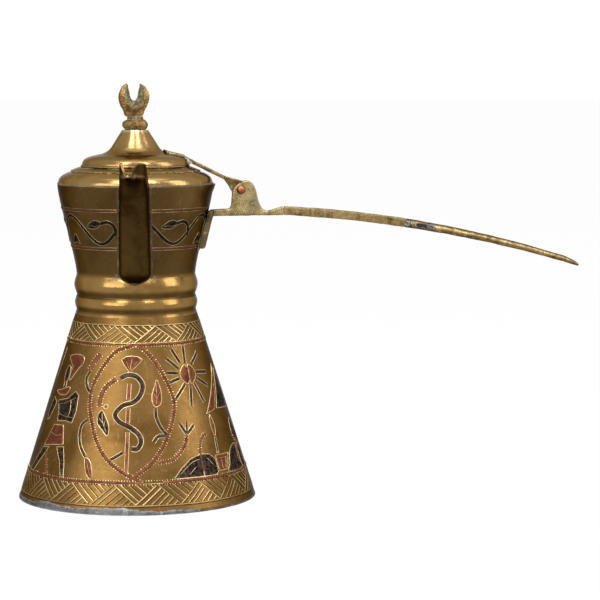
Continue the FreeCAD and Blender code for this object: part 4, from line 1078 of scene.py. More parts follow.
@dataclass(frozen=True)
class Inlayer:
    """Lays wires, plates and chased lines on a wall."""

    shop: Workshop
    wall: Wall

    def grow(self, tree: NodeTree, paths: Sequence[Path], metal: Metal, **sizes: float) -> Mesh:
        """Runs a tree along lines on the wall.

        Args:
            tree: the path tree.
            paths: the lines, as angles and heights.
            metal: the finish.
            sizes: the tree's inputs in millimetres.

        Returns:
            The mesh.
        """
        spots = []
        edges = []
        for path in paths:
            closed = path[0] == path[-1]
            places = list(path)[:-1] if closed else list(path)
            start = len(spots)
            spots += places
            edges += [(start + i, start + i + 1) for i in range(len(places) - 1)]
            if closed:
                edges.append((len(spots) - 1, start))
        mesh = bpy.data.meshes.new("lines")
        mesh.from_pydata([tuple(self.wall.point(*spot)) for spot in spots], edges, [])
        carried = mesh.attributes.new("outward", "FLOAT_VECTOR", "POINT")
        carried.data.foreach_set("vector", [value for spot in spots for value in self.wall.outward(*spot)])
        return self.shop.run(tree, mesh, metal, **sizes)

    def wire(self, paths: Sequence[Path], metal: Metal, width: float, height: float) -> Mesh:
        """Wires along lines on the wall."""
        return self.grow(self.shop.trees.wire, paths, metal, Width=width, Height=height)

    def edging(self, paths: Sequence[Path], metal: Metal, offset: float, width: float, height: float) -> Mesh:
        """Burrs or grooves on both sides of lines on the wall."""
        return self.grow(self.shop.trees.edging, paths, metal, Offset=offset, Width=width, Height=height)

    def ticks(self, paths: Sequence[Path], metal: Metal, offset: float, pitch: float, size: float) -> Mesh:
        """Punched ticks on both sides of lines on the wall."""
        return self.grow(self.shop.trees.ticks, paths, metal, Offset=offset, Pitch=pitch, Size=size)

    def plate(self, outline: Path, height: float, cell: float = 0.8, sink: float = 0.2) -> Mesh:
        """A domed plate let into the wall.

        Args:
            outline: its outline, as angles and heights, closed.
            height: how far its middle stands out.
            cell: the spacing of its points.
            sink: how deep it is let in.

        Returns:
            The mesh.
        """
        reach = self.wall.radius(sum(p[1] for p in outline) / len(outline)) * math.radians(1.0)
        flat = [(angle * reach, z) for angle, z in outline[:-1]]
        shape = bmesh.new()
        shape.faces.new([shape.verts.new((u, v, 0.0)) for u, v in flat])
        bmesh.ops.triangulate(shape, faces=shape.faces[:])
        for axis, normal in enumerate((Vector((1.0, 0.0, 0.0)), Vector((0.0, 1.0, 0.0)))):
            low = min(p[axis] for p in flat)
            high = max(p[axis] for p in flat)
            for step in range(1, int((high - low) / cell) + 1):
                every = shape.verts[:] + shape.edges[:] + shape.faces[:]
                place = normal * (low + step * cell)
                bmesh.ops.bisect_plane(shape, geom=every, plane_co=place, plane_no=normal)
        shape.verts.index_update()
        rim = np.array(flat + flat[:1])
        start, run = rim[:-1], rim[1:] - rim[:-1]
        length = np.maximum((run**2).sum(axis=1), 1e-9)
        points = []
        sunk = []
        for vert in shape.verts:
            here = np.array(vert.co[:2])
            share = np.clip(((here - start) * run).sum(axis=1) / length, 0.0, 1.0)
            inset = np.linalg.norm(start + run * share[:, None] - here, axis=1).min()
            lift = 0.04 + (height - 0.04) * min(inset / 0.5, 1.0) ** 0.5
            points.append(self.wall.point(here[0] / reach, here[1], lift))
            sunk.append(self.wall.point(here[0] / reach, here[1], -sink))
        count = len(points)
        faces = [[v.index for v in face.verts] for face in shape.faces]
        faces += [[count + i for i in reversed(face)] for face in faces]
        rims = [[v.index for v in edge.verts] for edge in shape.edges if edge.is_boundary]
        faces += [[a, b, count + b, count + a] for a, b in rims]
        shape.free()
        return self.shop.mesh_of(points + sunk, faces)


@dataclass(frozen=True)
class Shape:
    """One inlaid wire or plate: a line, or a closed outline."""

    points: Path
    plate: bool = False
    curved: bool = True
    width: float = 1.1

    def line(self, turn: float = 0.0) -> list[Point]:
        """The shape's line, turned round the pot.

        Args:
            turn: degrees to turn it by.

        Returns:
            The line's points.
        """
        drawn = (smooth_path if self.curved else straight_path)(self.points, self.plate)
        if self.plate:
            drawn[-1] = drawn[0]
        return [(angle + turn, z) for angle, z in drawn]


def wire(width: float, *points: Point) -> Shape:
    """A wire through points."""
    return Shape(points, width=width)


def leaf(*points: Point) -> Shape:
    """A plate with a curved outline through points."""
    return Shape(points, plate=True)


def slab(*points: Point) -> Shape:
    """A plate with straight sides between points."""
    return Shape(points, plate=True, curved=False)


def disc(angle: float, height: float, half_angle: float, half_height: float) -> Shape:
    """A round plate about a centre, with half its width in degrees and half its height."""
    turns = [math.pi * k / 4 for k in range(8)]
    return leaf(*((angle + half_angle * math.cos(t), height + half_height * math.sin(t)) for t in turns))


@dataclass
class Frieze:
    """The inlaid panels of the skirt, front and back, with the hatched bands that bound them."""

    layer: Inlayer
    foot: float = 13.3
    top: float = 70.3
    wire_height: float = 0.28
    plate_height: float = 0.24
    line_width: float = 1.1
    panels: tuple[float, ...] = (0.0, 180.0)
    ticked: tuple[str, ...] = ("medallion_wires", "copper_spray_plates")
    bands: tuple[tuple[float, float, int], ...] = ((4.2, 12.6, 16), (71.2, 78.0, 10))
    hatch_lines: int = 6
    broad_from: float = -0.05
    groove_turn: float = 0.68
    groove_drop: float = 0.42
    copper: ClassVar[dict[str, tuple[Shape, ...]]] = {
        # two sides of the pointed oval
        "medallion_wires": (
            wire(1.25, (0, 70.2), (-15, 67.5), (-25, 60.5), (-30.5, 53), (-31, 45.5), (-27.5, 38),
                 (-23, 30.5), (-16.5, 23.5), (-7.5, 18), (-1, 15.2), (3, 13.4)),
            wire(1.25, (2, 70.2), (10, 66.5), (16, 62), (21, 56.5), (24.5, 50.5), (26, 46), (24, 40),
                 (19.5, 33), (15, 27), (8.5, 21), (2.5, 17.5), (-3, 14.5))),
        # flower, then the staff in three lengths
        "lotus_staffs": (
            slab((-4, 58.8), (-7.6, 61.4), (-10.6, 64.1), (-7, 65.3), (-3, 65.6), (2, 65.3), (5.5, 64.1),
                 (0.5, 61.2)),
            wire(1.5, (-4, 54.2), (-4.4, 47.5)), wire(1.5, (-4.4, 44), (-4.6, 37.8)),
            wire(1.4, (-4.4, 34.2), (-4.8, 17))),
        # buds, stems and vessels of the plants
        "copper_spray_plates": (
            leaf((15, 55.5), (17, 52.5), (17.5, 48.5), (16.5, 45.5), (13.5, 44.3), (11.5, 45.5), (11, 48.5),
                 (12.7, 52)),
            leaf((-28.5, 23), (-25.5, 22), (-24, 19.5), (-23, 16), (-24, 14.5), (-26.5, 16.5), (-28, 20)),
            disc(-19, 44.5, 1.5, 0.9), wire(1.7, (-23.5, 44.5), (-23.5, 48), (-20.5, 52.5), (-13.5, 56)),
            wire(1.9, (-28, 66), (-32, 63.5), (-35.5, 59.5)),
            wire(1.1, (31, 32), (29.5, 28.5), (24.5, 24.5), (19.5, 22), (12.5, 21.5)),
            wire(1.1, (38.5, 16), (38, 22), (39, 27.5), (42, 30.5), (45, 31.5)),
            slab((48.5, 22), (61, 22), (56.5, 15.5), (49.5, 15.5)),
            leaf((52.5, 39), (54.5, 34), (52.5, 30), (51, 34)), wire(1.1, (75, 28), (75.5, 23), (73.5, 19.5)),
            wire(0.8, (-60, 23), (-56.5, 19.5), (-53.5, 13.8))),
        # two halves of the sun
        "sun_discs": (
            leaf((40, 60.9), (34.4, 58.6), (34.4, 55.4), (40, 53.1)),
            leaf((42, 60.9), (47.6, 58.6), (47.6, 55.4), (42, 53.1))),
        "pyramid_lit_plates": (slab((75, 59.3), (60, 41), (50, 39.6)),),
        # headdress, collar and kilt of the standing figure
        "figure_copper_plates": (
            leaf((-61, 63.7), (-54, 65), (-46, 65), (-42.8, 63.5), (-43.2, 61.5), (-46.5, 59.5), (-49.5, 57),
                 (-53.5, 54), (-54.6, 56.5), (-53.6, 59.5), (-56, 60.9)),
            leaf((-67, 48.7), (-61.5, 47.4), (-54, 47.9), (-51, 50.5), (-53, 51.2), (-59.5, 49.8)),
            slab((-58.5, 34.8), (-49, 35.2), (-45.5, 27.5), (-64, 25.7)))}
    dark: ClassVar[dict[str, tuple[Shape, ...]]] = {
        # coils and tail of the serpent wound about the staff
        "serpent_wires": (
            wire(2.0, (-10.5, 56.3), (-5.5, 57.7), (1, 57), (5, 53.5), (3.5, 49.5), (-1, 46.5), (-8, 45),
                 (-12.5, 41.5), (-10, 38.5), (-3, 36), (2, 33), (3.2, 29.8), (1, 27.2), (-2, 27.3)),
            wire(1.3, (-7, 25.7), (-10.5, 24), (-13.5, 22.8))),
        # leaves, mounds and stems of the plants
        "dark_spray_plates": (
            leaf((-21.5, 42.8), (-24, 40.5), (-23.5, 37.5), (-20.5, 35), (-16.5, 32.5), (-16, 36),
                 (-18.5, 40)),
            slab((20, 14.3), (25, 18.5), (31, 22), (38.0, 23.5), (38.0, 14.2)),
            slab((38.2, 23.5), (44.5, 23), (48, 20.5), (48.4, 15.2), (46.5, 14.2), (38.2, 14.2)),
            wire(1.3, (13, 43.8), (13, 40), (15.5, 35.5), (19, 32.5)),
            wire(1.4, (18, 32.2), (13.5, 32.2), (10.5, 29.8)),
            wire(1.3, (-35, 58.5), (-37, 55.5), (-35, 52), (-31.5, 50)),
            wire(1.3, (-30.5, 38.5), (-34, 36.5), (-34.5, 32), (-32.5, 27.5), (-28.5, 23.5)),
            wire(1.3, (31, 32.5), (27.5, 37)), wire(1.0, (31.5, 32.8), (32.5, 37.5)),
            wire(1.3, (31.8, 32.5), (37.2, 35.7)), wire(1.0, (51.5, 22.6), (52.3, 29.5)),
            leaf((63, 22), (67, 24), (72.8, 24.5), (72.4, 18.5), (75, 14.2), (58, 14.2), (60, 17.5)),
            leaf((77.5, 24), (81, 22.5), (82, 17), (81.5, 14.2), (77, 14.2), (75, 18)),
            leaf((77.5, 35.5), (83.5, 30), (83, 24.5), (77.5, 26), (73.8, 29.5))),
        # rays, then the streak in the sun
        "sun_ray_wires": (
            wire(1.3, (40, 61.7), (41.5, 69)), wire(1.3, (46.5, 61.2), (56, 65.5)),
            wire(1.3, (49.7, 57.5), (61.5, 56.8)), wire(1.3, (48.5, 55), (59, 51)),
            wire(1.3, (45, 53), (50.5, 44.5)), wire(1.3, (41, 52), (38.5, 43.7)),
            wire(1.3, (36.5, 53), (27.5, 47.2)), wire(1.3, (32.5, 55.5), (25, 54.2)),
            wire(1.3, (32, 57.7), (23.2, 58.3)), wire(1.3, (33.5, 59.5), (24.2, 64.2)),
            wire(1.3, (35.5, 62), (29.5, 68.2)), wire(0.9, (41, 60), (40.6, 54.2))),
        "pyramid_shade_plates": (slab((77.5, 57.5), (81.5, 46), (79, 40.2), (62, 41)),),
        # plain head, neck, body, arm and legs of the standing figure, and the staff it holds
        "figure_dark_plates": (
            disc(-58.4, 56.4, 3.2, 3.7), wire(1.8, (-58.4, 52.8), (-57.6, 50.6)),
            slab((-61, 45), (-51, 46.4), (-44.5, 49.8), (-41, 48.3), (-40.5, 41.5), (-42.2, 36.6),
                 (-47.5, 37.2), (-56, 36.6), (-57.5, 41)),
            slab((-68.5, 46), (-63, 44), (-67, 37), (-70, 36), (-72, 40)),
            slab((-64, 25), (-57.8, 25.3), (-69.5, 14), (-75, 14)),
            slab((-50.5, 26), (-44.7, 26.4), (-41.8, 20), (-40.4, 14.2), (-42.6, 14.2), (-45.5, 20.5)),
            wire(0.8, (-74, 67), (-75, 61), (-77.5, 54.5)))}
    # fine chased lines on the plates: petals, veins, folds and bands
    veins: ClassVar[tuple[Path, ...]] = (
        ((-4, 59.8), (-6.6, 63.4)), ((-3.7, 59.9), (-2.6, 64.2)), ((-3.2, 59.8), (1.8, 63.4)),
        ((-21, 41.5), (-20, 38), (-17.2, 34)), ((-22.8, 39.6), (-19.8, 37.6)), ((-18.6, 38.6), (-19, 36.4)),
        ((14.3, 54), (14.3, 49.5), (13.8, 45.6)), ((12.6, 50), (14.2, 47.8), (16.2, 50.4)),
        ((-27.2, 21.6), (-25.6, 18.6), (-24.2, 15.8)), ((50, 20.6), (59.6, 20.6)), ((53, 20.4), (52.4, 16.2)),
        ((57.2, 20.4), (55, 16.2)), ((-58.4, 43.4), (-51, 44.7), (-42.8, 47.2)),
        ((-57, 40), (-50, 39), (-41.6, 38.7)), ((-47, 46), (-45.6, 42), (-46.6, 38.8)),
        ((-60, 31.5), (-53, 30.6), (-47.6, 31.4)), ((24, 16.2), (31, 20.2), (36.4, 21.4)),
        ((29, 15.6), (33.5, 18.4)), ((42, 21.4), (45.6, 18.4)))

    def build(self) -> None:
        """Lays the whole frieze."""
        layer, shop = self.layer, self.layer.shop
        chased = []
        grooves = []
        for inlays, metal in ((self.copper, Metal.COPPER), (self.dark, Metal.DARK)):
            for node, shapes in inlays.items():
                lines = [(shape, shape.line(turn)) for turn in self.panels for shape in shapes]
                meshes = [layer.plate(line, self.plate_height) if shape.plate
                          else layer.wire([line], metal, shape.width, self.wire_height)
                          for shape, line in lines]
                whole = shop.roughened(shop.joined(meshes), ((0.06, 1.1),))
                shop.piece(node + "_laid", whole, metal, node, wear=0.5)
                chased += [self._chasing(shape, line, node) for shape, line in lines]
                if node in self.ticked:
                    grooves += [(line, shape.width) for shape, line in lines if not shape.plate]
        veins = [Shape(points).line(turn) for turn in self.panels for points in self.veins]
        chased.append(layer.wire(veins, Metal.CHASED, width=0.3, height=0.32))
        lines = [self._round(self.top, -6.0, 336.0), self._round(self.foot, 14.0, 364.0)]
        wires = layer.wire(lines, Metal.COPPER, self.line_width, self.wire_height)
        shop.piece("frieze_lines", wires, Metal.COPPER, "frieze_line_wires")
        rounds = [self._round(self.top), self._round(self.foot)]
        grooves += [(line, self.line_width) for line in rounds]
        # dark lines either side of each copper line: tarnish and painted shade of a cut groove
        sunk = [layer.edging([line], Metal.GROOVE, offset=width / 2 + 0.06, width=0.3, height=0.06)
                for line, width in grooves]
        shop.piece("wire_grooves", shop.joined(sunk), Metal.GROOVE, wear=0.0)
        chased.append(layer.ticks(rounds, Metal.CHASED, offset=0.82, pitch=1.15, size=0.46))
        shop.piece("frieze_chasing", shop.joined(chased), Metal.CHASED, wear=0.0)
        self._hatch()

    def _chasing(self, shape: Shape, line: Path, node: str) -> Mesh:
        """The bright chased edge of a wire or plate, or the ticks beside a copper line.

        Args:
            shape: the wire or plate.
            line: its line on one panel.
            node: the node it belongs to.

        Returns:
            The mesh.
        """
        if shape.plate:
            return self.layer.wire([line], Metal.CHASED, width=0.42, height=0.16)
        if node in self.ticked:
            return self.layer.ticks([line], Metal.CHASED, offset=shape.width / 2 + 0.26, pitch=1.1, size=0.48)
        return self.layer.edging([line], Metal.CHASED, offset=shape.width / 2 + 0.1, width=0.32, height=0.12)

    @staticmethod
    def _round(height: float, start: float = 0.0, end: float = 360.0) -> list[Point]:
        """A line round the skirt, with the slight unsteadiness of hand work.

        Args:
            height: its height.
            start: its first angle.
            end: its last angle.

        Returns:
            The line's points.
        """
        count = int((end - start) / 2.5)
        angles = [start + (end - start) * k / count for k in range(count + 1)]
        return [(a, height + ragged(math.radians(a), height / 3.0, (0.25, 3.0))) for a in angles]

    def _dimness(self, x: float, y: float, z: float) -> float:
        """How dull a chased line is, in broad patches round the bands."""
        patch = ragged(math.atan2(x, -y), z / 36.0, (0.7, 6.0))
        return unit((0.15 if z > self.top else 0.6) + patch)

    def _hatch(self) -> None:
        """The two hatched bands, lines slanting by turns in triangles that point up and down."""
        lines = []
        borders = []
        for low, high, cells in self.bands:
            span = 360.0 / cells
            for cell in range(cells):
                for k in range(self.hatch_lines):
                    share = k / self.hatch_lines
                    reach = (1.0 - share) * (1.0 - 0.16 * abs(noise.noise((cell * 1.3, k * 2.9, high))))
                    turn, rise = reach * span / 2, reach * (high - low)
                    base = (cell + share) * span + 1.1 * noise.noise((cell * 3.1, k * 1.7, low))
                    down = base + span / 2
                    lines.append(straight_path(((base, low), (base + turn, low + rise)), steps=6))
                    lines.append(straight_path(((down + turn, high - rise), (down, high)), steps=6))
            borders += [self._round(low - 0.3), self._round(high + 0.3)]
        broad = [noise.noise((k * 0.83, 1.7, 0.4)) > self.broad_from for k in range(len(lines))]
        thick = [line for line, wide in zip(lines, broad) if wide]
        thin = [line for line, wide in zip(lines, broad) if not wide]
        layer, shop = self.layer, self.layer.shop
        meshes = [layer.wire(thick, Metal.CHASED, width=0.56, height=0.13),
                  layer.wire(thin + borders, Metal.CHASED, width=0.3, height=0.1)]
        shop.piece("hatched_bands", shop.joined(meshes), Metal.CHASED, wear=0.0, patina_and_shade=self._dimness)
        # a dark line beside each chased line, offset to one side: tarnish and painted shade of the cut
        cut = [[(angle + self.groove_turn, z) for angle, z in line] for line in lines]
        cut += [[(angle, z - self.groove_drop) for angle, z in line] for line in borders]
        sunk = layer.wire(cut, Metal.GROOVE, width=0.5, height=0.05)
        shop.piece("hatch_grooves", sunk, Metal.GROOVE, wear=0.0)


@dataclass
class Skirt:
    """The conical lower body and the solder round its bottom."""

    shop: Workshop
    base_radius: float = 52.0
    waist_radius: float = 26.8
    foot: float = 1.2
    top: float = 81.4
    sheet: float = 1.0
    steps: int = 44
    solder_section: Points = ((-0.9, 0.0), (0.36, 0.0), (0.38, 0.2), (0.33, 0.5), (0.24, 0.8),
                              (0.03, 1.0), (-0.4, 1.0), (-0.9, 0.5))
    solder_rise: float = 2.9
    solder_rag: float = 1.04
    solder_lean: float = 0.55
    solder_least: float = 0.7
    # painted shade towards the sides: its strength, where it starts and how far it spreads
    side_shade: float = 0.6
    side_shade_from: float = 45.0
    side_shade_span: float = 35.0

    def radius(self, height: float) -> float:
        """The outside radius at a height."""
        share = (max(height, self.foot) - self.foot) / (self.top - self.foot)
        return self.base_radius + (self.waist_radius - self.base_radius) * share

    def build(self) -> None:
        """Makes the sheet and the solder run."""
        heights = [self.foot + (self.top - self.foot) * k / self.steps for k in range(self.steps + 1)]
        outline = [(self.radius(z), z) for z in heights]
        outline += [(self.radius(z) - self.sheet, z) for z in reversed(heights)]
        sheet = self.shop.lathe(outline)
        self.shop.piece("skirt_sheet", sheet, Metal.SKIRT, "skirt", wear=0.0, patina_and_shade=self._patina_and_shade)
        bead = self.shop.roughened(self.shop.lathe(self.solder_section, 360, self._solder), ((0.05, 1.2),))
        self.shop.piece("bottom_solder", bead, Metal.SOLDER, "base_solder_bead", wear=0.4)

    def _patina_and_shade(self, x: float, y: float, z: float) -> float:
        """Painted shade: the skirt darker towards the sides, between the two panels."""
        aside = math.degrees(math.atan2(abs(x), abs(y)))
        return self.side_shade * unit((aside - self.side_shade_from) / self.side_shade_span)

    def _solder(self, angle: float, lift: float, share: float) -> Point:
        """A point of the ragged solder run at an angle.

        Args:
            angle: the angle in radians.
            lift: how far off the skirt it is.
            share: its share of the run's height.

        Returns:
            Its radius and height.
        """
        rag = ragged(angle, 0.3, (1.0, 4.0), (0.6, 13.0), (0.25, 40.0))
        fuller = max(math.cos(angle + self.solder_lean), 0.0) ** 1.5 + 0.4 * max(-math.cos(angle), 0.0)
        height = share * max(self.solder_least, self.solder_rise * fuller + self.solder_rag * rag)
        return self.radius(height) + lift, max(height, 0.0)


def stained(x: float, y: float, z: float) -> float:
    """How brown a thin line of solder is, in stretches along it."""
    return unit(0.75 + 1.6 * noise.noise((x / 6.0, y / 6.0, z / 6.0)))


@dataclass
class UpperBody:
    """The beaded and flared neck, the shoulder and the vine round the neck."""

    shop: Workshop
    waist: Point = (26.8, 81.4)
    strip_top: Point = (26.2, 83.3)
    lower_bead: Point = (27.0, 86.5)
    valley: Point = (26.0, 89.8)
    upper_bead: Point = (27.2, 94.15)
    flare: Points = ((26.1, 98.5), (26.1, 105.5), (34.2, 131.0), (34.2, 138.0))
    dome: Points = ((33.9, 138.0), (33.9, 142.4), (31.0, 142.7), (19.8, 146.5))
    sheet: float = 1.0
    spigot_drop: float = 5.0
    shoulder_drop: float = 3.0
    rim_section: Points = ((33.5, 137.7), (34.2, 137.9), (34.25, 138.25), (34.0, 138.75), (33.5, 138.6))
    line_heights: tuple[float, float] = (111.2, 127.8)
    vine_middle: float = 119.3
    vine_swing: float = 6.0
    vine_turns: tuple[float, ...] = (0, 35, 66, 96, 125, 154, 184, 214, 244, 272, 299, 331, 360)
    spout_gap: float = 9.5
    tab_gap: float = 13.5
    # painted shade on the lower part of each bead
    bead_underside_shade: float = 0.95
    # a worn patch that is also a painted highlight: its angle, spread, start, rise and share
    worn_highlight_turn: float = 56.0
    worn_highlight_spread: float = 20.0
    worn_highlight_from: float = 122.0
    worn_highlight_rise: float = 8.0
    worn_highlight_share: float = 0.38
    streak_share: float = 0.08
    lip_angle: float = 84.0
    lip_reach: float = 16.0
    lip_height: float = 4.0
    lip_out: float = 1.0
    smudge: Spot = ((8.5, -25.5, 98.5), 2.6, 0.5)
    seat: Point = (20.6, 28.0)
    seat_gap: float = 0.14
    seat_rag: float = 1.3
    seat_sheet: float = 0.45
    seat_grime: float = 0.45
    seat_edge: float = 0.5
    dust_radius: float = 24.8
    curve: list[Point] = field(init=False)

    def __post_init__(self) -> None:
        """Keeps the flare's points for looking up its radius."""
        self.curve = bezier(self.flare, 40)

    def radius(self, height: float) -> float:
        """The flare's outside radius at a height."""
        return float(np.interp(height, [z for _, z in self.curve], [r for r, _ in self.curve]))

    def build(self) -> None:
        """Makes the neck, the shoulder, the solder line and the inlaid vine."""
        shop = self.shop
        outside = [self.waist]
        beads = ((self.strip_top, self.lower_bead, self.valley),
                 (self.valley, self.upper_bead, self.flare[0]))
        for bead in beads:
            outside += smooth_path(bead, steps=10)[:-1]
        outside += self.curve
        spigot = self.waist[0] - self.sheet
        low = self.waist[1] - self.spigot_drop
        step = self.waist[1] + self.sheet
        inside = [(r - self.sheet, step if z == self.waist[1] else z) for r, z in reversed(outside)]
        outline = [(spigot, low), (spigot, self.waist[1])] + outside + inside
        outline += [(spigot - self.sheet, step), (spigot - self.sheet, low)]
        wall = shop.run(shop.trees.strainer, shop.lathe(outline, shift=self._lip), Metal.NECK, Radius=1.5,
                        Spread=3.0, Pitch=6.0, Foot=107.5, Reach=28.0)
        (x, y, z), reach, strength = self.smudge
        shop.piece("neck_sheet", wall, Metal.NECK, "neck", wear=0.0, patina_and_shade=self._patina_and_shade,
                   crust_at=[((side * x, y, z), reach, strength) for side in (1.0, -1.0)])
        self._shoulder()
        self._vine(Inlayer(shop, Wall(self.radius)))

    def _patina_and_shade(self, x: float, y: float, z: float) -> float:
        """How dark the neck is: the flare most, from patina and painted shade, less in a worn patch towards
        the handle that is also a painted highlight; then painted shade on the lower part of each bead.

        Args:
            x: the place's distance towards the handle.
            y: its distance away from the spout.
            z: its height.

        Returns:
            The share of patina and painted shade.
        """
        around = math.degrees(math.atan2(x, -y))
        # a worn patch towards the handle, high up, kept lighter as a painted highlight
        worn_highlight = math.exp(-((around - self.worn_highlight_turn) / self.worn_highlight_spread) ** 2)
        worn_highlight *= unit((z - self.worn_highlight_from) / self.worn_highlight_rise)
        streak = max(noise.noise((around / 7.0, z / 60.0, 4.0)), 0.0)
        # the flare dark with patina and painted shade
        flare = unit((z - self.flare[0][1] + 1.0) / 2.5)
        flare *= 1.0 - self.worn_highlight_share * worn_highlight - self.streak_share * streak
        # painted shade: the lower part of each bead and the valley under it darker
        under = 0.0
        for (_, low), (_, bead) in ((self.strip_top, self.lower_bead), (self.valley, self.upper_bead)):
            if low - 0.8 < z < bead:
                share = max(z - low, 0.0) / (bead - low)
                under = max(under, min((0.72 - share) / 0.35, 1.0))
        return min(max(flare, self.bead_underside_shade * under), 1.0)

    def _lip(self, angle: float, radius: float, height: float) -> Point:
        """A point of the neck, bent out a little at the rim beside the bracket.

        Args:
            angle: the angle in radians.
            radius: the point's radius.
            height: its height.

        Returns:
            Its new radius and height.
        """
        turn = (math.degrees(angle) - self.lip_angle) / self.lip_reach
        rise = unit((height - self.flare[-1][1]) / self.lip_height + 1.0)
        return radius + self.lip_out * rise * math.exp(-turn * turn), height

    def _shoulder(self) -> None:
        """Makes the domed shoulder and the solder under its edge."""
        shop = self.shop
        dome = bezier(self.dome, 24)
        rim = self.flare[-1]
        spigot = rim[0] - self.sheet
        foot = rim[1] - self.shoulder_drop
        mouth = self.dome[-1][0]
        under = [(r - self.sheet, z - self.sheet) for r, z in reversed(dome) if r - self.sheet > mouth]
        outline = [(spigot, foot), (spigot, rim[1])] + dome + [(mouth, under[0][1] + 0.1)] + under
        outline.append((spigot - self.sheet, foot))
        shop.piece("shoulder_dome", shop.lathe(outline), Metal.LID, "shoulder", wear=0.4)
        self._seat(dome)

        def uneven(angle: float, radius: float, height: float) -> Point:
            """A point of the uneven solder line."""
            lump = ragged(angle, 1.0, (0.5, 9.0), (0.3, 31.0))
            return min(radius + 0.12 * lump, rim[0] + 0.1), height + (0.5 * lump if height > rim[1] else 0.0)

        line = shop.lathe(self.rim_section, 360, uneven)
        shop.piece("rim_solder", line, Metal.DULL_SOLDER, "rim_solder_line", wear=0.2, patina_and_shade=stained)

    def _seat(self, dome: Path) -> None:
        """Makes the thin torn sheet on the shoulder that the lid sits over, with dust under the lid's foot.

        Args:
            dome: the shoulder's outside.
        """
        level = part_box("lid_cap")[0][2] / MM - self.seat_gap
        radii, heights = zip(*reversed(dome))
        inner, outer = self.seat
        steps = [inner + (outer - inner) * k / 8 for k in range(9)]
        outline = [(r, 1.0) for r in steps] + [(r, 0.0) for r in reversed(steps)]

        def edge(angle: float) -> float:
            """How far the torn edge stands out or in at an angle."""
            return self.seat_rag * ragged(angle, 0.7, (1.0, 3.0), (0.7, 9.0), (0.35, 30.0))

        def torn(angle: float, radius: float, upper: float) -> Point:
            """A point of the seat, with a torn outer edge that hugs the shoulder."""
            share = (radius - inner) / (outer - inner)
            out = radius + edge(angle) * share
            skin = float(np.interp(out, radii, heights))
            lift = self.seat_sheet + max(level - skin - self.seat_sheet, 0.0) * (1.0 - share) ** 1.5
            return out, min(skin + (lift if upper else -0.3), level)

        def grime(x: float, y: float, z: float) -> float:
            """How dark the seat is: most at its torn edge."""
            inset = outer + edge(math.atan2(x, -y)) - math.hypot(x, y)
            return 1.0 if inset < self.seat_edge else self.seat_grime

        def dust(angle: float) -> Spot:
            """A place of dust under the lid's foot."""
            place = (self.dust_radius * math.sin(angle), self.dust_radius * math.cos(angle), level)
            return place, 1.5, 0.42 + ragged(angle, 2.25, (0.4, 4.0))

        self.shop.piece("shoulder_seat", self.shop.lathe(outline, 300, torn), Metal.LID, wear=0.3, sharp=30.0,
                        patina_and_shade=grime, crust_at=[dust(k / 20) for k in range(126)])

    def _clear(self, path: Path) -> list[list[Point]]:
        """The stretches of a line that neither the spout nor the bracket covers.

        Args:
            path: the line.

        Returns:
            The stretches.
        """
        runs = [[]]
        for angle, height in path:
            around = (angle + 180.0) % 360.0 - 180.0
            if abs(around) < self.spout_gap or abs(around - 90.0) < self.tab_gap:
                runs.append([])
            else:
                runs[-1].append((angle, height))
        return [run for run in runs if len(run) > 2]

    def _vine(self, layer: Inlayer) -> None:
        """Lays the two copper lines, the dark vine and its leaves.

        Args:
            layer: lays shapes on the neck.
        """
        shop = self.shop
        lines = [run for z in self.line_heights for run in self._clear([(a, z) for a in range(0, 361, 3)])]
        wires = layer.wire(lines, Metal.COPPER, width=1.0, height=0.26)
        shop.piece("neck_lines", wires, Metal.COPPER, "neck_line_wires", patina_and_shade=lambda x, y, z: 1.0)
        steps = range(len(self.vine_turns))
        angles = range(0, 361, 2)
        swings = np.cos(np.pi * np.interp(angles, self.vine_turns, steps))
        stem = [(a, self.vine_middle + self.vine_swing * float(swing)) for a, swing in zip(angles, swings)]
        runs = self._clear(stem)
        leaves = []
        veins = []
        for low, crest in zip(self.vine_turns[1::2], self.vine_turns[2::2]):
            tendril = ((low + 14.0, 117.0), (low + 12.5, 121.2), (low + 7.0, 122.9), (low + 1.0, 122.2))
            runs += self._clear(smooth_path(tendril))
            leaves.append(leaf((low + 1.5, 122.2), (low - 2, 123.6), (low - 7, 123.2), (low - 13, 120.6),
                               (low - 7, 119.8), (low - 2, 120.4)))
            leaves.append(leaf((crest + 1, 117.4), (crest + 6, 112.8), (crest + 1, 113.7),
                               (crest - 6, 112.8)))
            vein = ((low - 0.5, 121.6), (low - 4, 121.1), (low - 8, 121.4), (low - 11, 121.0))
            veins += self._clear(smooth_path(vein))
        outlines = [shape.line() for shape in leaves if self._clear(shape.points) == [list(shape.points)]]
        stem = shop.roughened(layer.wire(runs, Metal.BLACK, width=1.35, height=0.26), ((0.06, 1.1),))
        shop.piece("vine_stem", stem, Metal.BLACK, "vine_stem_wire", wear=0.5)
        plates = shop.joined([layer.plate(outline, 0.24) for outline in outlines])
        shop.piece("vine_leaves", plates, Metal.BLACK, "vine_leaf_plates", wear=0.5)
        pale = Metal.DIM_CHASED
        edges = [layer.edging(runs, pale, offset=0.75, width=0.24, height=0.1),
                 layer.wire(outlines, pale, width=0.3, height=0.12),
                 layer.edging(lines, pale, offset=0.62, width=0.22, height=0.1),
                 layer.wire(veins, pale, width=0.3, height=0.3)]
        shop.piece("vine_chasing", shop.joined(edges), pale, wear=0.0)


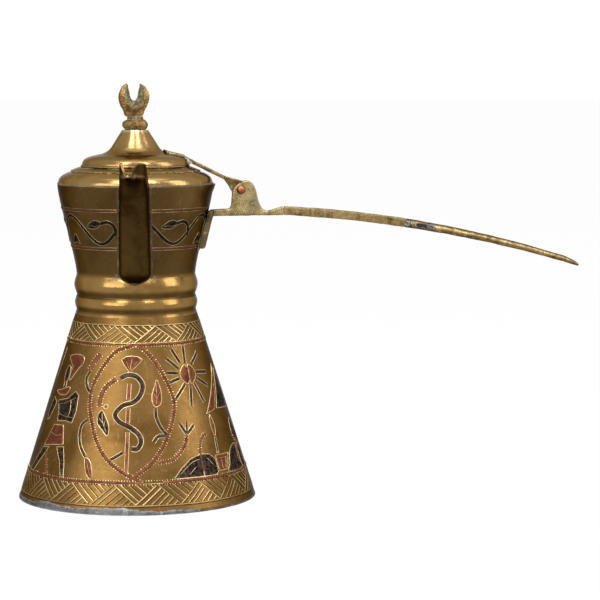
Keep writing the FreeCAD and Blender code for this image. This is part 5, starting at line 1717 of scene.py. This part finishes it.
@dataclass
class Finial:
    """The cast finial: the bead and stem of the solid, under a crescent with bevelled horns."""

    shop: Workshop
    outside: Points = ((3.2, 181.8), (4.6, 181.0), (5.7, 179.7), (6.4, 178.0), (6.6, 176.2), (6.4, 174.3),
                       (5.6, 172.2), (4.4, 169.9), (3.5, 167.8), (0.0, 166.9))
    bevel: Points = ((3.0, 181.5), (3.7, 180.0), (4.2, 178.2), (4.3, 176.4), (4.2, 174.7), (3.5, 173.0),
                     (2.3, 171.8), (1.3, 171.3), (0.6, 171.05), (0.0, 171.0))
    notch: Points = ((2.7, 181.3), (2.4, 179.9), (2.0, 178.3), (1.75, 177.1), (1.45, 176.1), (1.05, 175.3),
                     (0.7, 174.85), (0.45, 174.65), (0.2, 174.55), (0.0, 174.5))
    half_thick: float = 2.5
    tip_half_thick: float = 1.1
    tip_length: float = 5.0
    stem_top: float = 167.6
    turn: float = 19.0
    aside: float = -0.5
    horn_crust: Point = (1.0, 0.75)
    crust_rings: tuple[tuple[float, ...], ...] = ((4.9, 161.7, 1.1, 0.8), (3.4, 166.6, 0.9, 0.6))
    crust_spots: int = 44
    steps: int = 4

    def build(self) -> None:
        """Makes the finial."""
        shop = self.shop
        stem = shop.edited(shop.merged_copy("finial"), self._cut)
        shells = shop.joined([stem, self._horns()])
        mesh = shop.recast(shells, 0.14, 2, ((0.26, 2.6), (0.12, 0.9), (0.05, 0.4)))
        shop.piece("finial_cast", mesh, Metal.FINIAL, "finial", Body.LID, self._crust())

    def _cut(self, shape: bmesh.types.BMesh) -> None:
        """Takes off the solid's crescent and closes the stem.

        Args:
            shape: the solid's shape.
        """
        every = shape.verts[:] + shape.edges[:] + shape.faces[:]
        cut = bmesh.ops.bisect_plane(shape, geom=every, plane_co=(0.0, 0.0, self.stem_top * MM),
                                     plane_no=(0.0, 0.0, 1.0), clear_outer=True)["geom_cut"]
        bmesh.ops.holes_fill(shape, edges=[e for e in cut if isinstance(e, bmesh.types.BMEdge)])

    def _across(self, half: Path) -> list[Point]:
        """A line from the right horn's tip down to the middle and up to the left horn's tip."""
        drawn = smooth_path(half, steps=self.steps)
        return drawn + [(-x, z) for x, z in reversed(drawn[:-1])]

    def _placed(self, x: float, y: float, z: float) -> Vector:
        """A place of the crescent, turned and moved aside as it stands on the stem."""
        turned = Matrix.Rotation(math.radians(self.turn), 3, "Z") @ Vector((x, y, z))
        return turned + Vector((self.aside, 0.0, 0.0))

    def _horns(self) -> Mesh:
        """The crescent as a closed shell.

        Returns:
            The mesh.
        """
        points = []
        lines = [self._across(half) for half in (self.outside, self.bevel, self.notch)]
        for outer, edge, inner in zip(*lines):
            low = unit((self.outside[0][1] - outer[1]) / self.tip_length)
            half = self.tip_half_thick + (self.half_thick - self.tip_half_thick) * low
            ring = [(*outer, -0.7 * half), (*edge, -half), (*inner, 0.0), (*edge, half), (*outer, 0.7 * half)]
            points += [self._placed(x, y, z) * MM for x, z, y in ring]
        sides = len(ring)
        faces = [list(range(sides)), [len(points) - 1 - k for k in range(sides)]]
        for i in range(0, len(points) - sides, sides):
            for j in range(sides):
                k = (j + 1) % sides
                faces.append([i + j, i + k, i + sides + k, i + sides + j])
        return self.shop.mesh_of(points, faces)

    def _crust(self) -> list[Spot]:
        """Places of crust round the stem and on the bevel inside the horns.

        Returns:
            The places, with their reach and strength.
        """
        places = [((far * math.sin(k), far * math.cos(k), z), reach, strength)
                  for far, z, reach, strength in self.crust_rings for k in range(self.crust_spots)]
        for (bx, bz), (nx, nz) in zip(self._across(self.bevel), self._across(self.notch)):
            for side in (-1.0, 1.0):
                for share in (0.3, 0.7):
                    spot = self._placed(share * bx + (1.0 - share) * nx, side * share * self.half_thick,
                                        share * bz + (1.0 - share) * nz)
                    places.append((tuple(spot), *self.horn_crust))
        return places


@dataclass
class Lid:
    """The stepped lid, the strap of its hinge and the solder under the strap."""

    shop: Workshop
    foot_radius: float = 24.0
    side: Point = (23.4, 0.9)
    crown: tuple[Point, Point] = ((23.0, 3.5), (20.5, 4.2))
    ledge: Point = (15.0, 5.2)
    groove: float = 0.15
    sweep: tuple[Point, Point] = ((12.9, 5.9), (11.5, 6.7))
    cone_foot: Point = (10.4, 8.3)
    cone_top: Point = (5.7, 15.7)
    sheet: float = 0.75
    tang_radius: float = 2.2
    torn_height: float = 0.5
    torn_depth: float = 0.35
    strap_grime: float = 0.6
    lump_spread: Triple = (1.5, 2.3, 2.2)
    patina_rises: tuple[float, ...] = (0.0, 0.5, 1.2, 4.6, 5.0, 5.4, 7.0, 8.2, 10.0)
    patina_shares: tuple[float, ...] = (0.9, 0.5, 0.12, 0.1, 0.5, 0.42, 0.42, 0.3, 0.08)
    foot: float = field(init=False)

    def __post_init__(self) -> None:
        """Takes the height of the lid's foot from the solid."""
        self.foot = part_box("lid_cap")[0][2] / MM

    def build(self) -> None:
        """Makes the lid, the strap and the solder."""
        shop = self.shop
        outside = self._outline()
        inside = [(max(r - self.sheet, self.tang_radius), max(z - self.sheet, self.foot))
                  for r, z in reversed(outside[1:])]
        top = outside[-1][1]
        outline = outside + [(self.tang_radius, top), (self.tang_radius, top - self.sheet)] + inside
        sheet = shop.lathe(outline, shift=self._torn)
        shop.piece("lid_sheet", sheet, Metal.LID, "lid_cap", Body.LID, wear=0.5, patina_and_shade=self._patina_and_shade)
        strap = shop.cast_copy("lid_strap", 0.25, 2, (0.1, 2.0), (0.06, 0.8))
        shop.piece("strap_cast", strap, Metal.DRAWN, "lid_strap", Body.LID, wear=0.6,
                   patina_and_shade=lambda x, y, z: self.strap_grime)
        self._solder()
        shop.redress("lid_collar", Metal.LID)
        shop.redress("finial_rove", Metal.CAST)

    def _outline(self) -> list[Point]:
        """The outside of the lid from its foot to its top.

        Returns:
            The points.
        """
        lip = self.sheet / 2
        radius, rise = self.ledge
        points = [(self.foot_radius, 0.0)]
        points += bezier(((self.foot_radius, lip), (self.side[0], lip), self.side), 8)[:-1]
        points += bezier((self.side, *self.crown, self.ledge), 14)
        points += [(radius - self.groove, rise - self.groove)]
        points += bezier(((radius - 2.0 * self.groove, rise + 0.05), *self.sweep, self.cone_foot), 16)
        points += straight_path((self.cone_foot, self.cone_top), steps=10)[1:]
        return [(r, z + self.foot) for r, z in points]

    def _torn(self, angle: float, radius: float, height: float) -> Point:
        """A point of the lid, uneven only at its foot.

        Args:
            angle: the angle in radians.
            radius: the point's radius.
            height: its height.

        Returns:
            Its new radius and height.
        """
        if height > self.foot + self.torn_height:
            return radius, height
        return radius - self.torn_depth * abs(ragged(angle, 2.0 / 9.0, (1.0, 9.0))), height

    def _patina_and_shade(self, x: float, y: float, z: float) -> float:
        """How dark the lid is: the ledge most, the cone's foot less."""
        return float(np.interp(z - self.foot, self.patina_rises, self.patina_shares))

    def _solder(self) -> None:
        """Makes the lump of solder under the strap, wider than the solid's."""
        shop = self.shop
        lump = shop.cast_copy("strap_solder_lump", 0.2, 2)
        places = [v.co / MM for v in lump.vertices]
        low = min(place.z for place in places)
        middle = sum(places, Vector()) / len(places)
        wide, deep, high = self.lump_spread

        def spread(place: Vector) -> Vector:
            """A place of the lump, spread out over the lid."""
            away = place - middle
            return Vector((middle.x + away.x * wide, away.y * deep, low + (place.z - low) * high))

        lump = shop.roughened(shop.moved(lump, spread), ((0.3, 1.4), (0.1, 0.6)))
        shop.piece("strap_solder", lump, Metal.PALE_SOLDER, "strap_solder_lump", Body.LID)


@dataclass
class Spout:
    """The beak, folded from one sheet with a bent mouth, and the solder along its sides."""

    shop: Workshop
    wall: Callable[[float], float]
    neck_radius: float = 26.1
    rim: Point = (34.2, 138.0)
    foot: float = 96.4
    lip: float = 143.6
    reach: float = 61.0
    keel_poles: Points = ((0.0, 0.0), (0.38, 0.02), (0.38, 0.48), (0.59, 0.86), (1.0, 1.0))
    half_width: float = 6.4
    mouth_half_width: float = 5.3
    corner: float = 4.4
    foot_rise: float = 5.0
    mouth: Points = ((-1.0, 5.8), (-0.84, 3.4), (-0.64, 0.8), (-0.45, 0.0), (-0.24, 0.5), (0.0, 2.0),
                     (0.2, 4.4), (0.45, 5.7), (0.8, 5.8), (1.0, 5.3))
    sheet: float = 1.0
    columns: int = 72
    rows: int = 64
    fold: float = 0.5
    wall_sink: float = 0.4
    seam_least: float = 0.25
    # where the beak darkens towards its mouth: tarnish and painted shade
    dark_from: float = 108.0
    dark_to: float = 134.0
    dark_share: float = 0.85
    keel: list[Point] = field(init=False)
    edge: list[Point] = field(init=False)

    def __post_init__(self) -> None:
        """Works out the keel's line and the mouth's edge."""
        span = self.reach - self.neck_radius
        rise = self.lip - self.foot
        poles = [(-self.neck_radius - out * span, self.foot + up * rise) for out, up in self.keel_poles]
        self.keel = bezier(poles, self.rows)
        self.edge = smooth_path(self.mouth)

    def build(self) -> None:
        """Makes the beak and its solder."""
        shop = self.shop
        beak = shop.roughened(self._folded(), ((0.12, 9.0), (0.05, 1.5)))
        shop.piece("spout_beak", beak, Metal.SPOUT, "spout", wear=0.8, patina_and_shade=self._patina_and_shade)
        seam = shop.cast_copy("spout_solder_seam", 0.18, 1, (0.14, 1.6), (0.08, 0.7))
        low = min(v.co.z for v in seam.vertices) / MM

        def drawn_in(place: Vector) -> Vector:
            """A place of the seam, drawn in round the beak's foot."""
            share = max(self._narrow(place.z - low), self.seam_least)
            return Vector((place.x * share, place.y, place.z))

        seam = shop.moved(seam, drawn_in)
        shop.piece("spout_seam", seam, Metal.DULL_SOLDER, "spout_solder_seam", wear=0.2, patina_and_shade=stained)

    def _folded(self) -> Mesh:
        """The folded sheet.

        Returns:
            The mesh.
        """
        levels = [(z - self.foot) / (self.lip - self.foot) for _, z in self.keel[1:]]
        points = []
        for column in range(self.columns + 1):
            share = 2.0 * column / self.columns - 1.0
            rise = self._top(share) - self.foot
            points += [tuple(self._outside(share, self.foot + rise * level) * MM) for level in levels]
        count = len(levels)
        corners = [i * count + j for i in range(self.columns) for j in range(count - 1)]
        mesh = bpy.data.meshes.new("fold")
        mesh.from_pydata(points, [], [(k, k + count, k + count + 1, k + 1) for k in corners])
        item = self.shop.new_object("fold", mesh)
        thick = item.modifiers.new("sheet", "SOLIDIFY")
        thick.thickness = self.sheet * MM
        thick.offset = -1.0
        return self.shop.settled(item)

    def _half(self, y: float) -> float:
        """Half the beak's width at a distance from the axis."""
        lean = (self.half_width - self.mouth_half_width) / (self.reach - self.rim[0])
        return self.half_width + lean * (y + self.rim[0])

    def _narrow(self, rise: float) -> float:
        """The share of its width that the beak has at a rise over its rounded foot."""
        short = 1.0 - unit(rise / self.foot_rise)
        return math.sqrt(1.0 - short * short)

    def _outside(self, share: float, z: float) -> Vector:
        """A point of the beak's outside.

        Args:
            share: its place across the fold, from -1 at the left seam to 1 at the right one.
            z: its height.

        Returns:
            The point in millimetres.
        """
        front = float(np.interp(z, [p[1] for p in self.keel], [p[0] for p in self.keel]))
        narrow = self._narrow(z - self.foot)
        half = self._half(front) * narrow
        turn = min(self.corner, 0.95 * half)
        flat = half - turn
        run = abs(share) / self.fold
        if run <= 1.0:
            along = run * (flat + turn * math.pi / 2)
            bent = max(along - flat, 0.0) / turn
            x = min(along, flat) + turn * math.sin(bent)
            y = front + turn * (1.0 - math.cos(bent))
        else:
            back = (abs(share) - self.fold) / (1.0 - self.fold)
            radius = self.wall(min(z, self.rim[1]))
            y = front + turn
            y += (self.wall_sink - math.sqrt(radius * radius - half * half) - y) * back
            x = self._half(y) * narrow
        return Vector((math.copysign(x, share), y, z))

    def _top(self, share: float) -> float:
        """The height of the beak's upper edge.

        Args:
            share: the place across the fold.

        Returns:
            The height.
        """
        if abs(share) <= self.fold:
            across = self._outside(share, self.lip).x / self._half(-self.reach)
            return self.lip + float(np.interp(across, [p[0] for p in self.edge], [p[1] for p in self.edge]))
        back = (abs(share) - self.fold) / (1.0 - self.fold)
        front = self._top(math.copysign(self.fold, share))
        return front + (self.rim[1] - front) * back

    def _patina_and_shade(self, x: float, y: float, z: float) -> float:
        """How dark the beak is: more towards its mouth, as tarnish and painted shade."""
        return unit((z - self.dark_from) / (self.dark_to - self.dark_from)) * self.dark_share


@dataclass
class Handle:
    """The bracket, its rivet, the bar, the tail and the patch between them."""

    shop: Workshop
    pin: Triple = (46.3, 0.0, 135.4)
    tab_grime: float = 0.95
    bend_radius: float = 4.4
    film_drop: float = 3.0
    shank_half: float = 2.6
    shank_share: float = 0.8
    bar_grime: float = 0.62
    # how dark the tail is beside its bright band: grime and painted shade
    tail_grime_and_shade: float = 1.0
    smear_grime: float = 0.45
    splice_bare: Point = (120.6, 123.4)
    splice_dark_end: float = 128.2
    splice_sink: float = 0.6

    def build(self) -> None:
        """Makes every fixed piece of the handle."""
        shop = self.shop
        bend = ((self.pin[0] + 6, 0.0, self.pin[2] - 6), 5.0, 0.7)
        root = ((self.pin[0] - 12, 0.0, self.pin[2] - 13), 5.0, 0.6)
        bracket = self._round_bend(shop.cast_copy("handle_bracket", 0.28, 7, (0.12, 3.0), (0.05, 0.9)))
        shop.piece("bracket_cast", bracket, Metal.CAST, "handle_bracket", crust_at=(bend, root), wear=0.35,
                   patina_and_shade=self._patina_and_shade)
        self._bar()
        self._tail()
        self._splice()
        self._rivet()
        film = shop.merged_copy("bracket_solder_film")
        top = max(v.co.z for v in film.vertices) / MM - self.film_drop
        film = shop.moved(film, lambda place: Vector((place.x, place.y, min(place.z, top))))
        shop.piece("bracket_film", film, Metal.DULL_SOLDER, "bracket_solder_film", wear=0.2, patina_and_shade=stained)

    def _patina_and_shade(self, x: float, y: float, z: float) -> float:
        """How dark the bracket is: its tab on the neck, and patches of the arm.

        Args:
            x: the place's distance towards the handle.
            y: its distance away from the spout.
            z: its height.

        Returns:
            The share of patina.
        """
        tab = unit((self.pin[0] - 8.0 - x) / 4.0)
        patch = max(noise.noise((x / 3.0, y / 3.0, z / 3.0)), 0.0)
        speck = max(noise.noise((x * 1.1, y * 1.1, z * 1.1)), 0.0)
        return self.tab_grime * min(max(tab - 0.9 * speck, 0.0) + 0.75 * patch, 1.0)

    def _round_bend(self, mesh: Mesh) -> Mesh:
        """Rounds the outer corner where the bracket's arm turns down the neck.

        Args:
            mesh: the bracket.

        Returns:
            The same mesh.
        """
        radius = self.bend_radius
        places = [v.co / MM for v in mesh.vertices]
        top = max(p.z for p in places if p.x < self.pin[0] - 10.0)
        left = min(p.x for p in places if abs(p.z - top + radius) < 0.5)
        middle = Vector((left + radius, top - radius))

        def rounded(place: Vector) -> Vector:
            """A place of the bracket, drawn in to the round."""
            arm = place.xz - middle
            if arm.x < 0.0 < arm.y and arm.length > radius:
                arm *= radius / arm.length
                return Vector((middle.x + arm.x, place.y, middle.y + arm.y))
            return place

        return self.shop.moved(mesh, rounded)

    @staticmethod
    def _rise(mesh: Mesh) -> Callable[[float, float], float]:
        """How high a place stands in a rod that runs along x, from 0 at its underside to 1 at its top.

        Args:
            mesh: the rod.

        Returns:
            The function of the place's x and z in millimetres.
        """
        slices = {}
        for vertex in mesh.vertices:
            slices.setdefault(round(vertex.co.x / MM), []).append(vertex.co.z / MM)
        places = sorted(slices)
        lows = [min(slices[x]) for x in places]
        highs = [max(slices[x]) for x in places]

        def rise(x: float, z: float) -> float:
            """The share of the rod's height."""
            low = float(np.interp(x, places, lows))
            return (z - low) / max(float(np.interp(x, places, highs)) - low, 0.1)

        return rise

    def _bar(self) -> None:
        """Makes the bar, bare on top as wear and a painted highlight, brown in patches below and darker
        towards the bottom.
        """
        bar = self.shop.cast_copy("handle_bar", 0.3, 2, (0.16, 4.0), (0.06, 1.0))
        rise = self._rise(bar)

        def grime(x: float, y: float, z: float) -> float:
            """How brown the bar is: patches below its bare top, which is also a painted highlight, and darker
            towards the bottom.
            """
            patch = noise.noise((x / 4.0, y / 4.0, z / 2.0)) + 0.6 * noise.noise((x / 1.2, y / 1.2, z / 1.2))
            # the top left bare: wear and a painted highlight
            under = unit((0.86 - rise(x, z)) / 0.12)
            foot = unit((0.3 - rise(x, z)) / 0.3)
            return unit(self.bar_grime * under * (0.6 + 1.1 * patch) + 0.35 * foot)

        self.shop.piece("bar_cast", bar, Metal.DRAWN, "handle_bar", wear=0.6, patina_and_shade=grime)

    def _tail(self) -> None:
        """Makes the tail, worn and kept bright along its middle as a painted highlight, darker above and
        below as grime and painted shade.
        """
        tail = self.shop.cast_copy("handle_tail", 0.28, 2, (0.12, 5.0), (0.05, 1.0))
        rise = self._rise(tail)

        def grime(x: float, y: float, z: float) -> float:
            """How dark the tail is: grime and painted shade, apart from the worn band with its painted
            highlight.
            """
            share = rise(x, z)
            patch = noise.noise((x / 2.5, y / 2.5, z / 1.5)) + 0.8 * noise.noise((x / 0.8, y / 0.8, z / 0.8))
            # a worn band along the middle, kept bright as a painted highlight
            worn_highlight = math.exp(-((share - 0.58) / 0.15) ** 2)
            low = 0.35 * max(patch, 0.0) if share < 0.5 else 0.0
            return unit(self.tail_grime_and_shade * (1.0 - worn_highlight) - low)

        self.shop.piece("tail_cast", tail, Metal.DRAWN, "handle_tail", wear=0.15, patina_and_shade=grime)

    def _splice(self) -> None:
        """Makes the solder between bar and tail: a smear, a bare place, a dark patch and a bright end."""
        patch = self.shop.cast_copy("splice_solder_patch", 0.22, 1, (0.2, 1.8), (0.08, 0.7))
        start, end = self.splice_bare

        def sunk(place: Vector) -> Vector:
            """A place of the solder, sunk into the rod where the brass is bare."""
            bare = start < place.x + 0.6 * noise.noise(place * 0.7) < end
            inward = 1.0 if place.y < 0.0 else -1.0
            return place + Vector((0.0, self.splice_sink * inward if bare else 0.0, 0.0))

        def grime(x: float, y: float, z: float) -> float:
            """How dark the solder is."""
            along = x + 0.8 * noise.noise((x * 0.7, y, z * 0.7))
            if along < start:
                return self.smear_grime
            return 1.0 if along < self.splice_dark_end else 0.0

        patch = self.shop.moved(patch, sunk)
        self.shop.piece("splice_patch", patch, Metal.SOLDER, "splice_solder_patch", patina_and_shade=grime)

    def _rivet(self) -> None:
        """Makes the rivet, its shank a running fit in the strap's eye."""
        rivet = self.shop.cast_copy("hinge_rivet", 0.12, 2, (0.08, 1.2))
        pin = Vector(self.pin)

        def thinned(place: Vector) -> Vector:
            """A place of the rivet, drawn in if it is on the shank."""
            share = self.shank_share if abs(place.y) < self.shank_half else 1.0
            return pin + (place - pin) * Vector((share, 1.0, share))

        self.shop.piece("rivet_cast", self.shop.moved(rivet, thinned), Metal.RIVET, "hinge_rivet")


@dataclass(frozen=True)
class Lamp:
    """One soft box: degrees round from the camera and up, metres off, its size in metres and its watts."""

    name: str
    around: float
    up: float
    far: float
    size: Point
    power: float
    aim: ClassVar[Triple] = (0.0, 0.0, 0.08)

    def build(self) -> None:
        """Hangs the lamp, aimed at the pot."""
        data = bpy.data.lights.new(self.name, "AREA")
        data.shape = "RECTANGLE"
        data.size, data.size_y = self.size
        data.energy = self.power
        lamp = Workshop.new_object(self.name, data)
        a, e = math.radians(self.around), math.radians(self.up)
        away = Vector((math.sin(a) * math.cos(e), -math.cos(a) * math.cos(e), math.sin(e)))
        lamp.location = Vector(self.aim) + self.far * away
        lamp.rotation_euler = away.to_track_quat("Z", "Y").to_euler()


@dataclass
class Studio:
    """The pale floor, the soft lamps and the camera."""

    eye: Triple = (0.020, -1.0345, 0.1879)
    pitch: float = 84.4
    yaw: float = -2.9
    lens: float = 140.9
    sensor: float = 36.0
    floor_reach: float = 14.0
    floor_grey: float = 0.9
    white_share: float = 0.97
    fill: float = 0.45
    lamps: tuple[Lamp, ...] = (
        Lamp("right_box", 72.0, 30.0, 1.2, (0.5, 1.0), 5.2),
        Lamp("right_strip", 27.0, 52.0, 1.3, (0.26, 0.9), 7.5),
        Lamp("left_strip", -28.0, 50.0, 1.3, (0.32, 0.9), 8.5),
        Lamp("left_box", -42.0, 17.0, 1.3, (0.9, 0.45), 4.0),
        Lamp("top_box", 10.0, 84.0, 1.3, (1.2, 0.8), 4.0))

    def build(self) -> None:
        """Sets up the whole studio."""
        self._camera()
        self._floor()
        self._world()
        for lamp in self.lamps:
            lamp.build()

    def _camera(self) -> None:
        """The camera at the photograph's viewing angle."""
        data = bpy.data.cameras.new("camera")
        data.lens = self.lens
        data.sensor_width = self.sensor
        camera = Workshop.new_object("camera", data)
        camera.location = self.eye
        camera.rotation_euler = (math.radians(self.pitch), 0.0, math.radians(self.yaw))
        bpy.context.scene.camera = camera

    @staticmethod
    def _seen(net: Net) -> NodeSocket:
        """One for rays from the camera and from shiny or clear surfaces."""
        rays = net.node("ShaderNodeLightPath")
        shiny = net.maths("MAXIMUM", rays["Is Glossy Ray"], rays["Is Transmission Ray"])
        return net.maths("MAXIMUM", rays["Is Camera Ray"], shiny)

    def _floor(self) -> None:
        """A wide pale floor that keeps a soft shadow."""
        reach = self.floor_reach
        corners = [(-reach, -reach, 0), (reach, -reach, 0), (reach, reach, 0), (-reach, reach, 0)]
        mesh = bpy.data.meshes.new("floor")
        mesh.from_pydata(corners, [], [(0, 1, 2, 3)])
        material = bpy.data.materials.new("pale_floor")
        material.use_nodes = True
        net = Net(material.node_tree)
        net.tree.nodes.remove(net.tree.nodes["Principled BSDF"])
        matt = net.add("ShaderNodeBsdfDiffuse", {"Color": (*[self.floor_grey] * 3, 1.0)})
        white = net.add("ShaderNodeEmission", {"Strength": 1.0})
        share = net.times(self._seen(net), self.white_share)
        both = net.add("ShaderNodeMixShader", {0: share, 1: matt, 2: white})
        net.fill(net.tree.nodes["Material Output"].inputs[0], both)
        mesh.materials.append(material)
        Workshop.new_object("floor", mesh)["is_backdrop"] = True

    def _world(self) -> None:
        """A white backdrop, also in shiny surfaces, with plain grey fill light."""
        world = bpy.data.worlds.new("studio")
        world.use_nodes = True
        bpy.context.scene.world = world
        net = Net(world.node_tree)
        back = net.tree.nodes["Background"].inputs
        net.fill(back["Strength"], net.maths("MULTIPLY_ADD", self._seen(net), 1.0 - self.fill, self.fill))
        net.fill(back["Color"], (1.0, 1.0, 1.0, 1.0))


def main() -> None:
    """Builds the studio and the pot round its frame."""
    logging.basicConfig(level=logging.INFO, format="%(message)s")
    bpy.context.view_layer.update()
    bpy.context.scene.view_settings.view_transform = "Standard"
    Studio().build()
    shop = Workshop()
    skirt = Skirt(shop)
    skirt.build()
    upper = UpperBody(shop)
    upper.build()
    Frieze(Inlayer(shop, Wall(skirt.radius))).build()
    Lid(shop).build()
    Finial(shop).build()
    Spout(shop, upper.radius).build()
    Handle(shop).build()
    shop.redress("base_plate", Metal.SKIRT)
    shop.redress("waist_solder_ring", Metal.SOLDER)


if __name__ == "__main__":
    main()
